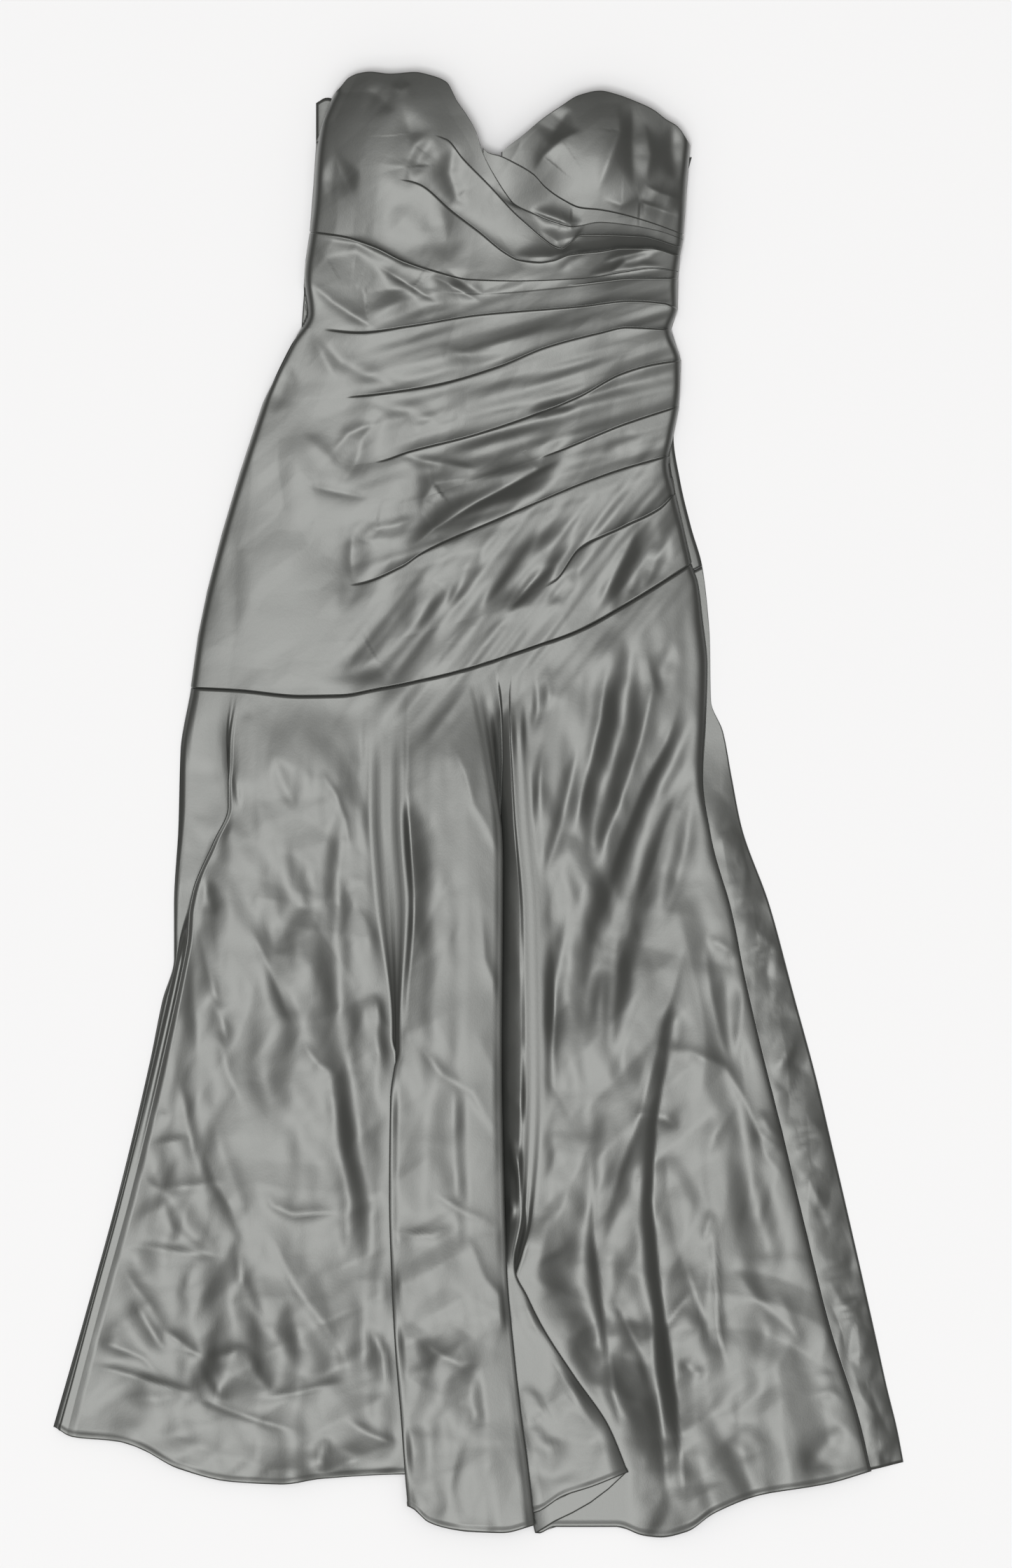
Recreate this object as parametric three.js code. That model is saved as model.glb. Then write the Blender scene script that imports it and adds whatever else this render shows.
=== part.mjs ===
// A strapless satin evening dress, laid on its back: two cups, a crossed-over bust, a draped midriff
// with pleats gathered into one side, a slanted hip seam and a flared skirt whose flutes lie over each other.
// Millimetres. +X is to the right of the laid dress, +Y towards the neckline, +Z up, and the floor is z = 0.
import * as THREE from 'three';

// Driving dimensions
const SATIN = 1.2; // wall of the skirt's cloth
const BODICE = 1.6; // wall of the bodice, cloth and interlining
const BACK = 1.5; // wall of the back, which lies on the floor
const GAP = 0.3; // between pieces that are sewn together
const PLEAT_RISE = 2; // a folded pleat edge above the band that it lies on
const PLEAT_LIP = 0.5; // length over which that edge rises
const PLEAT_ONSET = 45; // how far along a pleat its edge takes to lift
const ROLL = 15; // how far in from a side seam the front takes to rise
const TURN = 1; // bend radius where the skirt's cloth folds back
const RAMP = 1.4; // spacing of a fold's points where it has not folded over yet
// Columns of the bust, given where they cross the neckline, and those that only the crossing neckline needs
const BUST_COLUMNS = [-131, -126, -118, -108, -97, -84, -70, -56, -44, -35, -29, -23, -17, -10, -4, 2, 9, 15, 21,
  27, 33, 40, 49, 59, 69, 78, 88, 100, 115, 134, 152, 170, 186];
const FINE_COLUMNS = [-126, -29, -17, -4, 9, 21, 33, 49];
const ZIP_WIDTH = 6;
const ZIP_END = 255; // how far down the centre back the zip reaches

const FRONT_SEAT = BACK + GAP; // lowest place of a front piece
const SEAT = FRONT_SEAT + SATIN / 2; // middle of the skirt's cloth where it rests on the back
const RIGHT_LOFT = 12; // height of the skirt's right part beside the flap
const FLAP_REACH = 60; // how far past the flap's edge the cloth takes to rise to that height
const SEAM_REACH = 80; // how far below the hip seam the skirt takes to leave the hips' form
const SKIRT_TOP = 107; // where the skirt's sides start and end
const SKIRT_END = -610;
const COLOURS = { satin: 0x7d837c, shade: 0x6a6f69, inner: 0x595c58, zip: 0x8d918b };

function table(columns, ...rows) {
  const names = columns.split(' ');
  return rows.map((row) => Object.fromEntries(names.map((name, i) => [name, row[i]])));
}

// Outline, seams and pleats, as sizes of the laid dress
const LEFT_EDGE = table('y x', [648, -131], [638, -136], [620, -143], [593, -147], [549, -150], [522, -153],
  [480, -158], [448, -155], [419, -172], [386, -188], [354, -200], [240, -235], [188, -248], [153, -255],
  [107, -261.5], [50, -271], [-20, -273], [-92, -277], [-140, -277], [-178, -287], [-232, -298], [-350, -326],
  [-460, -356], [-567, -386]);
const RIGHT_EDGE = table('y x', [600, 193], [568, 190], [518, 187], [486, 182], [471, 181], [452, 181],
  [433, 175], [404, 184], [383, 184], [362, 182], [336, 177], [311, 173], [284, 179], [256, 186], [220, 194],
  [202, 200], [171, 204], [126, 208.5], [74, 207], [25, 204.5], [-30, 212], [-99, 231], [-154, 242], [-228, 259],
  [-300, 277], [-420, 306], [-475, 320], [-554, 345], [-607, 358]);
const BACK_LEFT = table('y x', [640, -148], [597, -148], [549, -149], [522, -152], [480, -157], [448, -154],
  [419, -171], [386, -187], [354, -199], [240, -234], [188, -247], [153, -254], [107, -261], [50, -271.5],
  [-20, -273.5], [-92, -277.5], [-140, -277.5], [-178, -288], [-232, -299], [-350, -327], [-460, -357],
  [-567, -387.5]);
const BACK_RIGHT = table('y x', [597, 199], [588, 195], [568, 189], [518, 186], [486, 181], [452, 180],
  [433, 174], [404, 182], [362, 181], [336, 178], [295, 184], [253, 194], [218, 204], [178, 209], [150, 211],
  [95, 212], [67, 223], [25, 231], [-20, 240], [-90, 265], [-175, 288], [-249, 308], [-300, 320], [-408, 345],
  [-488, 363], [-529, 372], [-570, 382], [-599, 387.5]);
const NECKLINE = table('x y', [-131, 648], [-126, 653], [-118, 662], [-109, 666], [-99, 667.4], [-80, 665.5],
  [-58, 667], [-43, 664], [-29, 658], [-19, 640], [-10, 627], [-1, 610], [2, 599], [9, 583], [18, 567], [25, 556],
  [33, 546], [49, 538], [69, 530], [86, 526], [111, 530], [134, 528], [166, 522], [186, 515]);
const CENTRE_EDGE = table('x y', [2, 599.5], [10, 593], [19, 591], [32, 585], [50, 574], [61, 562], [76, 551],
  [93, 543], [111, 541], [127, 538], [156, 530], [187, 519]);
const RIGHT_NECKLINE = table('x y', [19, 592], [27, 599], [39, 608], [58, 624], [74, 635], [92, 646], [111, 650],
  [125, 647], [144, 640], [159, 633], [171, 624], [181, 618], [193, 601]);
const UNDERBUST = table('x y', [-153, 522], [-121, 517], [-94, 508], [-68, 495], [-41, 486], [-7, 478], [37, 477],
  [93, 479], [132, 485], [160, 489], [182, 486]);
const HIP_SEAM = table('x y', [-261.5, 107], [-220, 105], [-161, 99.5], [-127, 100], [-92, 106], [-30, 119],
  [5, 129], [46, 143], [91, 159], [143, 188], [194, 220]);
const BACK_NECKLINE = table('x y', [-148, 640], [-138, 645], [-120, 636], [-70, 596], [-20, 580], [20, 576],
  [80, 576], [140, 580], [185, 592], [199, 597]);
const BACK_HIP_SEAM = table('x y', [-261, 107], [-130, 112], [0, 132], [100, 165], [204, 218]);
const BACK_HEM = table('x y', [-387.5, -567], [-340, -572], [-288, -592], [-223, -610], [-143, -608], [-64, -604],
  [10, -604], [60, -620], [110, -646], [164, -656], [203, -645], [256, -623], [320, -613], [358, -606],
  [387.5, -599]);
const CENTRE_BACK = table('y x', [620, 20], [500, 14], [300, -6], [107, -30]);

// Pleats of the crossed-over bust and of the midriff, top to bottom. from is where each edge starts to lift.
const BUST_PLEATS = [
  { from: -40, line: table('x y', [-150, 604], [-60, 612], [-29, 605], [-14, 588], [10, 564], [33, 539], [44, 529],
    [59, 516], [69, 509], [76, 507], [83, 511], [93, 519], [111, 519], [147, 518], [184, 508]) },
  { from: -72, line: table('x y', [-152, 566], [-90, 570], [-63, 567], [-53, 564], [-24, 540], [0, 522], [25, 502],
    [37, 496], [56, 494], [69, 496], [83, 501], [111, 504], [132, 507], [156, 507], [183, 500]) },
];
const MIDRIFF_PLEATS = [
  { from: 80, line: table('x y', [-156, 496], [-90, 480], [0, 467], [80, 473], [111, 477], [142, 480], [182, 480]) },
  { from: -142, line: table('x y', [-156, 434], [-109, 430], [-62, 436], [-1, 446], [93, 454], [139, 459],
    [169, 457], [181, 452]) },
  { from: -122, line: table('x y', [-196, 366], [-119, 371], [-70, 377], [-35, 383], [18, 399], [62, 417],
    [111, 430], [135, 435], [175, 433]) },
  { from: -95, line: table('x y', [-216, 302], [-92, 312], [-62, 322], [-7, 336], [48, 354], [92, 372], [131, 393],
    [158, 401], [183, 405]) },
  { from: 55, line: table('x y', [-234, 246], [-80, 272], [20, 304], [65, 319], [92, 330], [131, 346], [182, 363]) },
  { from: -118, line: table('x y', [-247, 194], [-115, 200], [-70, 217], [-52, 229], [20, 261], [92, 292],
    [131, 306], [173, 318]) },
  { from: 60, line: table('x y', [-255, 154], [-100, 150], [0, 172], [70, 204], [92, 233], [131, 253], [165, 270],
    [179, 284]) },
];

// Soft folds: the line of each, its half width and its height, below zero for a trough
const BODY_FOLDS = [
  { width: 15, height: -6, line: table('x y', [-54, 268], [-42, 294], [-7, 301], [20, 304], [48, 313], [87, 350]) },
  { width: 15, height: -7, line: table('x y', [-72, 224], [-40, 250], [0, 273], [40, 294], [80, 314]) },
  { width: 11, height: -5, line: table('x y', [-100, 262], [-112, 242], [-114, 205], [-125, 172]) },
  { width: 15, height: -5, line: table('x y', [-150, 116], [-90, 128], [-60, 160], [-45, 205], [-25, 228]) },
  { width: 12, height: -5, line: table('x y', [5, 172], [40, 205], [70, 240], [92, 268]) },
  { width: 12, height: -6, line: table('x y', [126, 168], [134, 196], [150, 228], [160, 262]) },
  { width: 13, height: -5, line: table('x y', [-130, 452], [-100, 440], [-60, 470], [-100, 495], [-140, 508]) },
  { width: 16, height: 5, line: table('x y', [-120, 505], [-90, 488], [-60, 466], [-20, 450]) },
  { width: 12, height: -6, line: table('x y', [-70, 640], [-62, 610], [-66, 580], [-60, 556]) },
  { width: 12, height: -5, line: table('x y', [62, 600], [72, 618], [84, 634]) },
  { width: 10, height: -5, line: table('x y', [140, 640], [140, 600], [142, 560]) },
  { width: 12, height: -5, line: table('x y', [-128, 338], [-110, 322], [-112, 296]) },
];
const SKIRT_FOLDS = [
  { width: 19, height: -7, line: table('x y', [-190, 24], [-178, -40], [-168, -92], [-190, -134], [-184, -193],
    [-194, -250], [-186, -340]) },
  { width: 15, height: -8, line: table('x y', [-140, 36], [-122, -10], [-130, -60], [-130, -150], [-120, -243],
    [-106, -330], [-99, -385], [-104, -470]) },
  { width: 11, height: 5, line: table('x y', [-137, -225], [-126, -300], [-117, -360], [-120, -430]) },
  { width: 15, height: -7, line: table('x y', [-94, 32], [-66, -20], [-60, -80], [-68, -130], [-70, -180]) },
  { width: 18, height: -6, line: table('x y', [-300, -330], [-260, -410], [-250, -500], [-290, -560]) },
  { width: 22, height: -5, line: table('x y', [-210, -400], [-190, -480], [-170, -560]) },
  { width: 14, height: -8, line: table('x y', [138, 166], [134, 126], [129, 74], [115, 20], [100, -60]) },
  { width: 14, height: -9, line: table('x y', [202, 95], [185, 60], [164, 18], [146, -23], [129, -71], [108, -130],
    [96, -220]) },
  { width: 13, height: -8, line: table('x y', [204, 46], [174, -2], [157, -44], [140, -89], [124, -150],
    [118, -240]) },
  { width: 16, height: 6, line: table('x y', [120, -260], [110, -340], [100, -420], [120, -520]) },
  { width: 15, height: -8, line: table('x y', [190, -180], [178, -290], [172, -360], [186, -430], [194, -560],
    [190, -650]) },
  { width: 14, height: 5, line: table('x y', [152, -300], [148, -380], [160, -480], [166, -600]) },
  { width: 16, height: -5, line: table('x y', [236, -260], [250, -380], [262, -480], [250, -600]) },
  { width: 14, height: -4, line: table('x y', [-12, -180], [-24, -300], [-10, -420], [-20, -560]) },
];

// The laid skirt's own lines: the fold behind the left hip, the flute's two edges, and the flap that it leaves
const HIP_FOLD = table('y x', [107, -222], [56, -228], [-2, -228], [-33, -241], [-78, -260], [-135, -270],
  [-232, -291], [-350, -319], [-460, -349], [-570, -378]);
const FLUTE_LEFT = table('y x', [110, -84], [0, -84], [-100, -78], [-211, -75], [-255, -80], [-341, -81],
  [-410, -79], [-468, -76], [-527, -71], [-610, -64], [-642, -59]);
const FLUTE_RIGHT = table('y x', [130, 2], [95, 10], [32, 17], [-54, 22], [-237, 21], [-344, 23], [-427, 26],
  [-504, 33], [-557, 39], [-601, 45], [-656, 51]);
const FLAP_EDGE = table('y x', [146, 44], [100, 36], [0, 40], [-100, 48], [-250, 50], [-370, 44], [-425, 34],
  [-447, 44], [-475, 58], [-520, 87], [-565, 118], [-608, 136]);
// How far each of those four folds lies over what is under it, and the heights of the cloth between them
const OVERLAPS = table('y hip left right flap', [130, 0, 0, 0, 0], [40, 1, 0, 0, 0], [-20, 5, 0, 2, 0],
  [-70, 4, 0, 8, 0], [-130, 0, 0, 14, 0], [-211, 0, 0, 20, 0], [-260, 0, 12, 22, 0], [-341, 0, 24, 24, 0],
  [-404, 0, 30, 24, 0], [-430, 0, 32, 24, 2.4], [-458, 0, 34, 25, 8], [-500, 0, 37, 28, 34],
  [-545, 0, 40, 31, 52], [-608, 0, 44, 35, 84], [-662, 0, 46, 38, 84]);
const HEIGHTS = table('y side left flute recess right', [130, 9, 11, 11, 11, 11], [80, 7, 11, 12, 7, 11],
  [30, 4.5, 11, 14, 4.5, 12], [-60, 4, 10.5, 15, 4, 12], [-211, 6, 9, 15, 4, 12], [-341, 6, 7, 14.5, 4, 11],
  [-372, 6, 6.7, 14.2, 4.4, 9], [-404, 6, 6.4, 14, 8.6, 4], [-440, 6, 6.2, 14, 8.8, 3.8],
  [-520, 5, 6, 13.8, 8.6, 3.7], [-662, 4, 6, 13.5, 8.5, 3.6]);
const FRONT_HEM = {
  left: table('x y', [-386, -567], [-370, -576], [-329, -580], [-309, -586], [-273, -605], [-223, -617],
    [-179, -619], [-143, -614], [-64, -610], [0, -610]),
  flute: table('x y', [-70, -636], [-58, -642], [-46, -653], [-28, -659], [-8, -662], [22, -663], [51, -656]),
  flap: table('x y', [0, -650], [51, -645], [77, -630], [104, -621], [136, -608]),
  right: table('x y', [40, -655], [55, -664], [69, -658], [126, -658], [151, -666], [166, -667.4], [190, -662],
    [215, -645], [256, -629], [320, -618], [358, -607]),
};
const LOFT = table('y height', [668, 10], [640, 18], [590, 24], [520, 24], [450, 19], [400, 16], [300, 13],
  [200, 11], [107, 9.5]);
const CUPS = table('x y wide tall height', [-72, 592, 62, 62, 24], [104, 588, 58, 52, 22], [16, 560, 40, 40, -5]);

const mix = (a, b, t) => a + (b - a) * t;
const clamp = (t, low = 0, high = 1) => Math.min(high, Math.max(low, t));
const ease = (t) => clamp(t) ** 2 * (3 - 2 * clamp(t));

// A smooth line through a table's rows that never overshoots them
function curve(rows, from, to) {
  const sorted = [...rows].sort((p, q) => p[from] - q[from]);
  const at = sorted.map((row) => row[from]);
  const value = sorted.map((row) => row[to]);
  const last = at.length - 1;
  const steep = at.slice(1).map((a, i) => (value[i + 1] - value[i]) / (a - at[i]));
  const slope = at.map((_, i) => {
    if (i === 0 || i === last) return steep[Math.min(i, last - 1)];
    return steep[i - 1] * steep[i] <= 0 ? 0 : (2 * steep[i - 1] * steep[i]) / (steep[i - 1] + steep[i]);
  });
  return (wanted) => {
    const a = clamp(wanted, at[0], at[last]);
    let i = 0;
    while (i < last - 1 && a > at[i + 1]) i += 1;
    const span = at[i + 1] - at[i];
    const t = (a - at[i]) / span;
    const lift = t * t * (3 - 2 * t);
    return value[i] + (value[i + 1] - value[i]) * lift + span * t * (1 - t)
      * (slope[i] * (1 - t) - slope[i + 1] * t);
  };
}

const spread = (start, end, fractions) => fractions.map((f) => mix(start, end, f));
const evenly = (count) => Array.from({ length: count + 1 }, (_, i) => i / count);
const fractionOf = (x) => (x - BUST_COLUMNS[0]) / (BUST_COLUMNS.at(-1) - BUST_COLUMNS[0]);
const BUST_FRACTIONS = BUST_COLUMNS.map(fractionOf);
const MIDRIFF_FRACTIONS = BUST_COLUMNS.filter((x) => !FINE_COLUMNS.includes(x)).map(fractionOf);

// A seam that two pieces share, straight between the midriff's columns so that both follow it exactly
function seamLine(rows) {
  const smooth = curve(rows, 'x', 'y');
  const places = spread(rows[0].x, rows.at(-1).x, MIDRIFF_FRACTIONS);
  return (x) => {
    const next = clamp(places.findIndex((place) => place > x), 1, places.length - 1);
    const k = x >= places.at(-1) ? places.length - 1 : next;
    const t = clamp((x - places[k - 1]) / (places[k] - places[k - 1]));
    return mix(smooth(places[k - 1]), smooth(places[k]), t);
  };
}

const leftEdge = curve(LEFT_EDGE, 'y', 'x');
const rightEdge = curve(RIGHT_EDGE, 'y', 'x');
const hipSeam = seamLine(HIP_SEAM);
const underbustSeam = seamLine(UNDERBUST);
const loft = curve(LOFT, 'y', 'height');

// Height that a soft fold adds at a place, from the distance to its line, fading to nothing at its two ends
function foldHeight(x, y, { line, width, height }) {
  const steps = line.slice(1).map((end, i) => ({ start: line[i], dx: end.x - line[i].x, dy: end.y - line[i].y }));
  const total = steps.reduce((sum, { dx, dy }) => sum + Math.hypot(dx, dy), 0);
  let nearest = Infinity;
  let along = 0;
  let before = 0;
  for (const { start, dx, dy } of steps) {
    const long = Math.hypot(dx, dy);
    const t = clamp(((x - start.x) * dx + (y - start.y) * dy) / long ** 2);
    const away = Math.hypot(x - start.x - dx * t, y - start.y - dy * t);
    if (away < nearest) {
      nearest = away;
      along = (before + t * long) / total;
    }
    before += long;
  }
  return height * Math.exp(-((nearest / width) ** 2)) * ease(4 * along) * ease(4 * (1 - along));
}
const foldsAt = (x, y, folds) => folds.reduce((sum, fold) => sum + foldHeight(x, y, fold), 0);

// Middle of the front's cloth over the bodice and hips: it rises from both side seams to the loft and the cups
function bodyHeight(x, y) {
  const inLeft = 1 - Math.exp(-Math.max(0, x - leftEdge(y)) / ROLL);
  const inRight = 1 - Math.exp(-Math.max(0, rightEdge(y) - x) / ROLL);
  const cups = CUPS.reduce((sum, cup) => sum
    + cup.height * Math.exp(-(((x - cup.x) / cup.wide) ** 2) - ((y - cup.y) / cup.tall) ** 2), 0);
  const above = (loft(y) + cups + foldsAt(x, y, BODY_FOLDS)) * inLeft * inRight;
  return FRONT_SEAT + BODICE / 2 + Math.max(0, above);
}

// A closed wall between an upper and a lower grid of points, rows running down the dress and columns across it
function wall(name, upper, lower, colour) {
  const rows = upper.length;
  const columns = upper[0].length;
  const index = [];
  const at = (r, c, side) => side * rows * columns + r * columns + c;
  for (let r = 0; r < rows - 1; r += 1) {
    for (let c = 0; c < columns - 1; c += 1) {
      const [a, b, d, e] = [[r, c], [r, c + 1], [r + 1, c], [r + 1, c + 1]];
      index.push(at(...a, 0), at(...d, 0), at(...b, 0), at(...b, 0), at(...d, 0), at(...e, 0));
      index.push(at(...a, 1), at(...b, 1), at(...d, 1), at(...b, 1), at(...e, 1), at(...d, 1));
    }
  }
  const west = Array.from({ length: rows - 1 }, (_, r) => [r, 0]);
  const south = Array.from({ length: columns - 1 }, (_, c) => [rows - 1, c]);
  const east = Array.from({ length: rows - 1 }, (_, r) => [rows - 1 - r, columns - 1]);
  const north = Array.from({ length: columns - 1 }, (_, c) => [0, columns - 1 - c]);
  const loop = [...west, ...south, ...east, ...north];
  loop.forEach((p, i) => {
    const q = loop[(i + 1) % loop.length];
    index.push(at(...q, 0), at(...p, 0), at(...p, 1), at(...q, 0), at(...p, 1), at(...q, 1));
  });
  const geometry = new THREE.BufferGeometry();
  const points = [...upper.flat(), ...lower.flat()].flatMap((p) => [p.x, p.y, p.z]);
  geometry.setAttribute('position', new THREE.Float32BufferAttribute(points, 3));
  geometry.setIndex(index);
  geometry.computeVertexNormals();
  const material = new THREE.MeshStandardMaterial({ color: colour, roughness: 0.38, metalness: 0.2 });
  const mesh = new THREE.Mesh(geometry, material);
  mesh.name = name;
  return mesh;
}

// A band of the bodice: rows fill the space between neighbouring lines, and each line in the middle is a pleat
// whose lower side is lifted. columnsOf(line index) gives the x of every column on that line.
function band(name, lines, columnsOf, rowsBetween, liftOf, colour) {
  const upper = [];
  const lower = [];
  for (let k = 0; k < lines.length - 1; k += 1) {
    const xTop = columnsOf(k);
    const xLow = columnsOf(k + 1);
    for (let r = 0; r <= rowsBetween; r += 1) {
      const t = r / rowsBetween;
      const row = xTop.map((x, c) => {
        const top = lines[k](x) - (k > 0 ? PLEAT_LIP / 2 : GAP / 2);
        const low = lines[k + 1](xLow[c]) + (k < lines.length - 2 ? PLEAT_LIP / 2 : GAP / 2);
        const across = mix(x, xLow[c], t);
        const down = mix(top, low, t);
        const atSeam = (k === 0 && r === 0) || (k === lines.length - 2 && r === rowsBetween);
        const normal = atSeam ? new THREE.Vector3(0, 0, 1) : bodyNormal(across, down);
        const lift = liftOf(k, across) * (1 - t);
        const centre = new THREE.Vector3(across, down, bodyHeight(across, down));
        return { centre, normal, lift };
      });
      upper.push(row.map(({ centre, normal, lift }) => centre.clone().addScaledVector(normal, BODICE / 2)
        .add(new THREE.Vector3(0, 0, lift))));
      lower.push(row.map(({ centre, normal }) => centre.clone().addScaledVector(normal, -BODICE / 2)));
    }
  }
  return wall(name, upper, lower, colour);
}

function bodyNormal(x, y) {
  const step = 2;
  const slopeX = (bodyHeight(x + step, y) - bodyHeight(x - step, y)) / (2 * step);
  const slopeY = (bodyHeight(x, y + step) - bodyHeight(x, y - step)) / (2 * step);
  return new THREE.Vector3(-slopeX, -slopeY, 1).normalize();
}

const pleatLift = (pleats) => (k, x) => (k === 0 ? 0 : PLEAT_RISE * ease((x - pleats[k - 1].from) / PLEAT_ONSET));
const lineOf = (rows) => curve(rows, 'x', 'y');

// Crossed-over bust: the left cup, whose pleats run over the middle into the right side seam
function bustWrap() {
  const lines = [lineOf(NECKLINE), ...BUST_PLEATS.map(({ line }) => lineOf(line)), underbustSeam];
  const ends = table('left right', [-131, 186], [-147, 184.5], [-149.5, 183], [-153, 182]);
  const columnsOf = (k) => spread(ends[k].left, ends[k].right, BUST_FRACTIONS);
  return band('bust_wrap', lines, columnsOf, 4, pleatLift(BUST_PLEATS), COLOURS.satin);
}

// Band under the neckline's point, between the right cup and the crossed-over bust
function centreBand() {
  const columns = BUST_COLUMNS.filter((x) => x > 3);
  return band('centre_band', [lineOf(CENTRE_EDGE), lineOf(NECKLINE)], () => columns, 2, () => 0, COLOURS.shade);
}

function rightCup() {
  const columns = BUST_COLUMNS.filter((x) => x > 20);
  const neck = spread(columns[0], 192.5, columns.map((x) => (x - columns[0]) / (columns.at(-1) - columns[0])));
  const lines = [lineOf(RIGHT_NECKLINE), lineOf(CENTRE_EDGE)];
  return band('right_cup', lines, (k) => (k === 0 ? neck : columns), 7, () => 0, COLOURS.satin);
}

// Draped midriff and hips, from the seam under the bust to the slanted hip seam
function drapedMidriff() {
  const lines = [underbustSeam, ...MIDRIFF_PLEATS.map(({ line }) => lineOf(line)), hipSeam];
  const edges = MIDRIFF_PLEATS.map(({ line }) => ({ left: leftEdge(line[0].y), right: rightEdge(line.at(-1).y) }));
  const seamEnds = (rows) => ({ left: rows[0].x, right: rows.at(-1).x });
  const ends = [seamEnds(UNDERBUST), ...edges, seamEnds(HIP_SEAM)];
  const columnsOf = (k) => spread(ends[k].left, ends[k].right, MIDRIFF_FRACTIONS);
  return band('draped_midriff', lines, columnsOf, 3, pleatLift(MIDRIFF_PLEATS), COLOURS.satin);
}

// Front skirt: one wall across the whole front. At each of four lines the cloth steps or folds over itself.
function frontSkirt() {
  const lines = { hip: curve(HIP_FOLD, 'y', 'x'), left: curve(FLUTE_LEFT, 'y', 'x'),
    right: curve(FLUTE_RIGHT, 'y', 'x'), flap: curve(FLAP_EDGE, 'y', 'x') };
  const overlap = Object.fromEntries(['hip', 'left', 'right', 'flap'].map((key) => [key, curve(OVERLAPS, 'y', key)]));
  const height = Object.fromEntries(['side', 'left', 'flute', 'recess', 'right']
    .map((key) => [key, curve(HEIGHTS, 'y', key)]));
  const hem = Object.fromEntries(Object.entries(FRONT_HEM).map(([key, rows]) => [key, lineOf(rows)]));
  const topOf = (x) => hipSeam(x) - GAP / 2;
  // Panels from left to right: their columns, the line and overlap where each ends, and the hem that they share
  const panels = [
    { key: 'side', columns: 3, crown: 0, end: 'hip', over: 'next', hem: hem.left },
    { key: 'left', columns: 15, crown: 3, end: 'left', over: 'next', hem: hem.left },
    { key: 'flute', columns: 7, crown: 2, end: 'right', over: 'this', hem: hem.flute },
    { key: 'recess', columns: 5, crown: 0, end: 'flap', over: 'this', hem: hem.flap },
    { key: 'right', columns: 17, crown: 0, end: null, over: null, hem: hem.right },
  ];
  const ROWS = 25;
  const upper = [];
  const lower = [];
  for (let r = 0; r <= ROWS; r += 1) {
    const v = r / ROWS;
    const path = sectionPath(v, panels, { lines, overlap, height, topOf });
    upper.push(offset(path, SATIN / 2));
    lower.push(offset(path, -SATIN / 2));
  }
  return wall('front_skirt', upper, lower, COLOURS.satin);
}

// Where a row at the fraction v between the hip seam and the hem crosses a line that runs down the skirt
function crossing(line, v, rowHeight) {
  let y = mix(SKIRT_TOP, SKIRT_END, v);
  for (let pass = 0; pass < 6; pass += 1) y = rowHeight(line(y), v);
  return { x: line(y), y };
}

// One row of the front skirt, as points from the left edge to the right seam
function sectionPath(v, panels, { lines, overlap, height, topOf }) {
  const rowOf = (hem) => (x, at) => mix(topOf(x), hem(x), at);
  const path = [];
  let start = crossing(leftEdge, v, rowOf(panels[0].hem));
  panels.forEach((panel, i) => {
    const next = panels[i + 1];
    const rowHere = rowOf(panel.hem);
    let end = crossing(panel.end ? lines[panel.end] : rightEdge, v, rowHere);
    let fold = [];
    if (next) {
      const rowNext = rowOf(next.hem);
      const over = overlap[panel.end](end.y);
      const first = end.x + (panel.over === 'next' ? over : 0);
      const second = end.x - (panel.over === 'this' ? over : 0);
      const low = { x: first, y: rowHere(first, v) };
      const high = { x: second, y: rowNext(second, v) };
      fold = foldPoints(low, high, over, height[panel.key](low.y), height[next.key](high.y))
        .map((p, k) => ({ ...p, y: k < 3 ? rowHere(p.x, v) : rowNext(p.x, v) }));
      end = fold[0];
    }
    for (let c = i > 0 ? 1 : 0; c <= panel.columns - (next ? 1 : 0); c += 1) {
      const f = c / panel.columns;
      const x = mix(start.x, end.x, f);
      const y = rowHere(x, v);
      path.push({ x, y, z: height[panel.key](y), panel, f });
    }
    path.push(...fold);
    start = fold.at(-1);
  });
  return path.map((p) => finished(p, lines));
}

// Six points that carry the cloth from one panel to the next, folded over by the given overlap
function foldPoints(first, second, over, low, high) {
  const folded = clamp(over / (2 * TURN));
  const up = Math.sign(high - low) || 1;
  const bend = Math.min(TURN, Math.abs(high - low) / 4);
  const heights = [low, low + up * bend, low + 2 * up * bend, high - 2 * up * bend, high - up * bend, high];
  const across = [-TURN, 0, -TURN, TURN, 0, TURN];
  return heights.map((z, k) => {
    const end = k < 3 ? first : second;
    return { x: end.x + across[k] * folded + (k - 2.5) * RAMP * (1 - folded), z };
  });
}

// Settles a point's height: it joins the hips at the seam, drops to the side seams and takes the soft folds.
// What lies hidden under a fold stays level, so that the layers keep clear of each other.
function finished(p, lines) {
  const seam = ease((hipSeam(p.x) - p.y) / SEAM_REACH);
  let z = p.z;
  if (p.panel) {
    const { key, end, crown } = p.panel;
    const shown = key === 'right' ? ease((p.x - lines.flap(p.y)) / FLAP_REACH) : 1;
    const body = key === 'right' ? mix(p.z, RIGHT_LOFT, shown) : p.z + 4 * crown * p.f * (1 - p.f);
    const calm = end ? ease(6 * (1 - p.f)) : 1;
    const settled = key === 'side' ? 1 : ease(6 * p.f);
    const rise = (1 - Math.exp(-(p.x - leftEdge(p.y)) / ROLL)) * (1 - Math.exp(-(rightEdge(p.y) - p.x) / ROLL));
    const soft = foldsAt(p.x, p.y, SKIRT_FOLDS) * calm * settled * shown;
    z = SEAT + Math.max(0.2, body - SEAT + soft) * Math.max(0, rise);
  }
  return new THREE.Vector3(p.x, p.y, mix(bodyHeight(p.x, p.y), z, seam));
}

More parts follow.
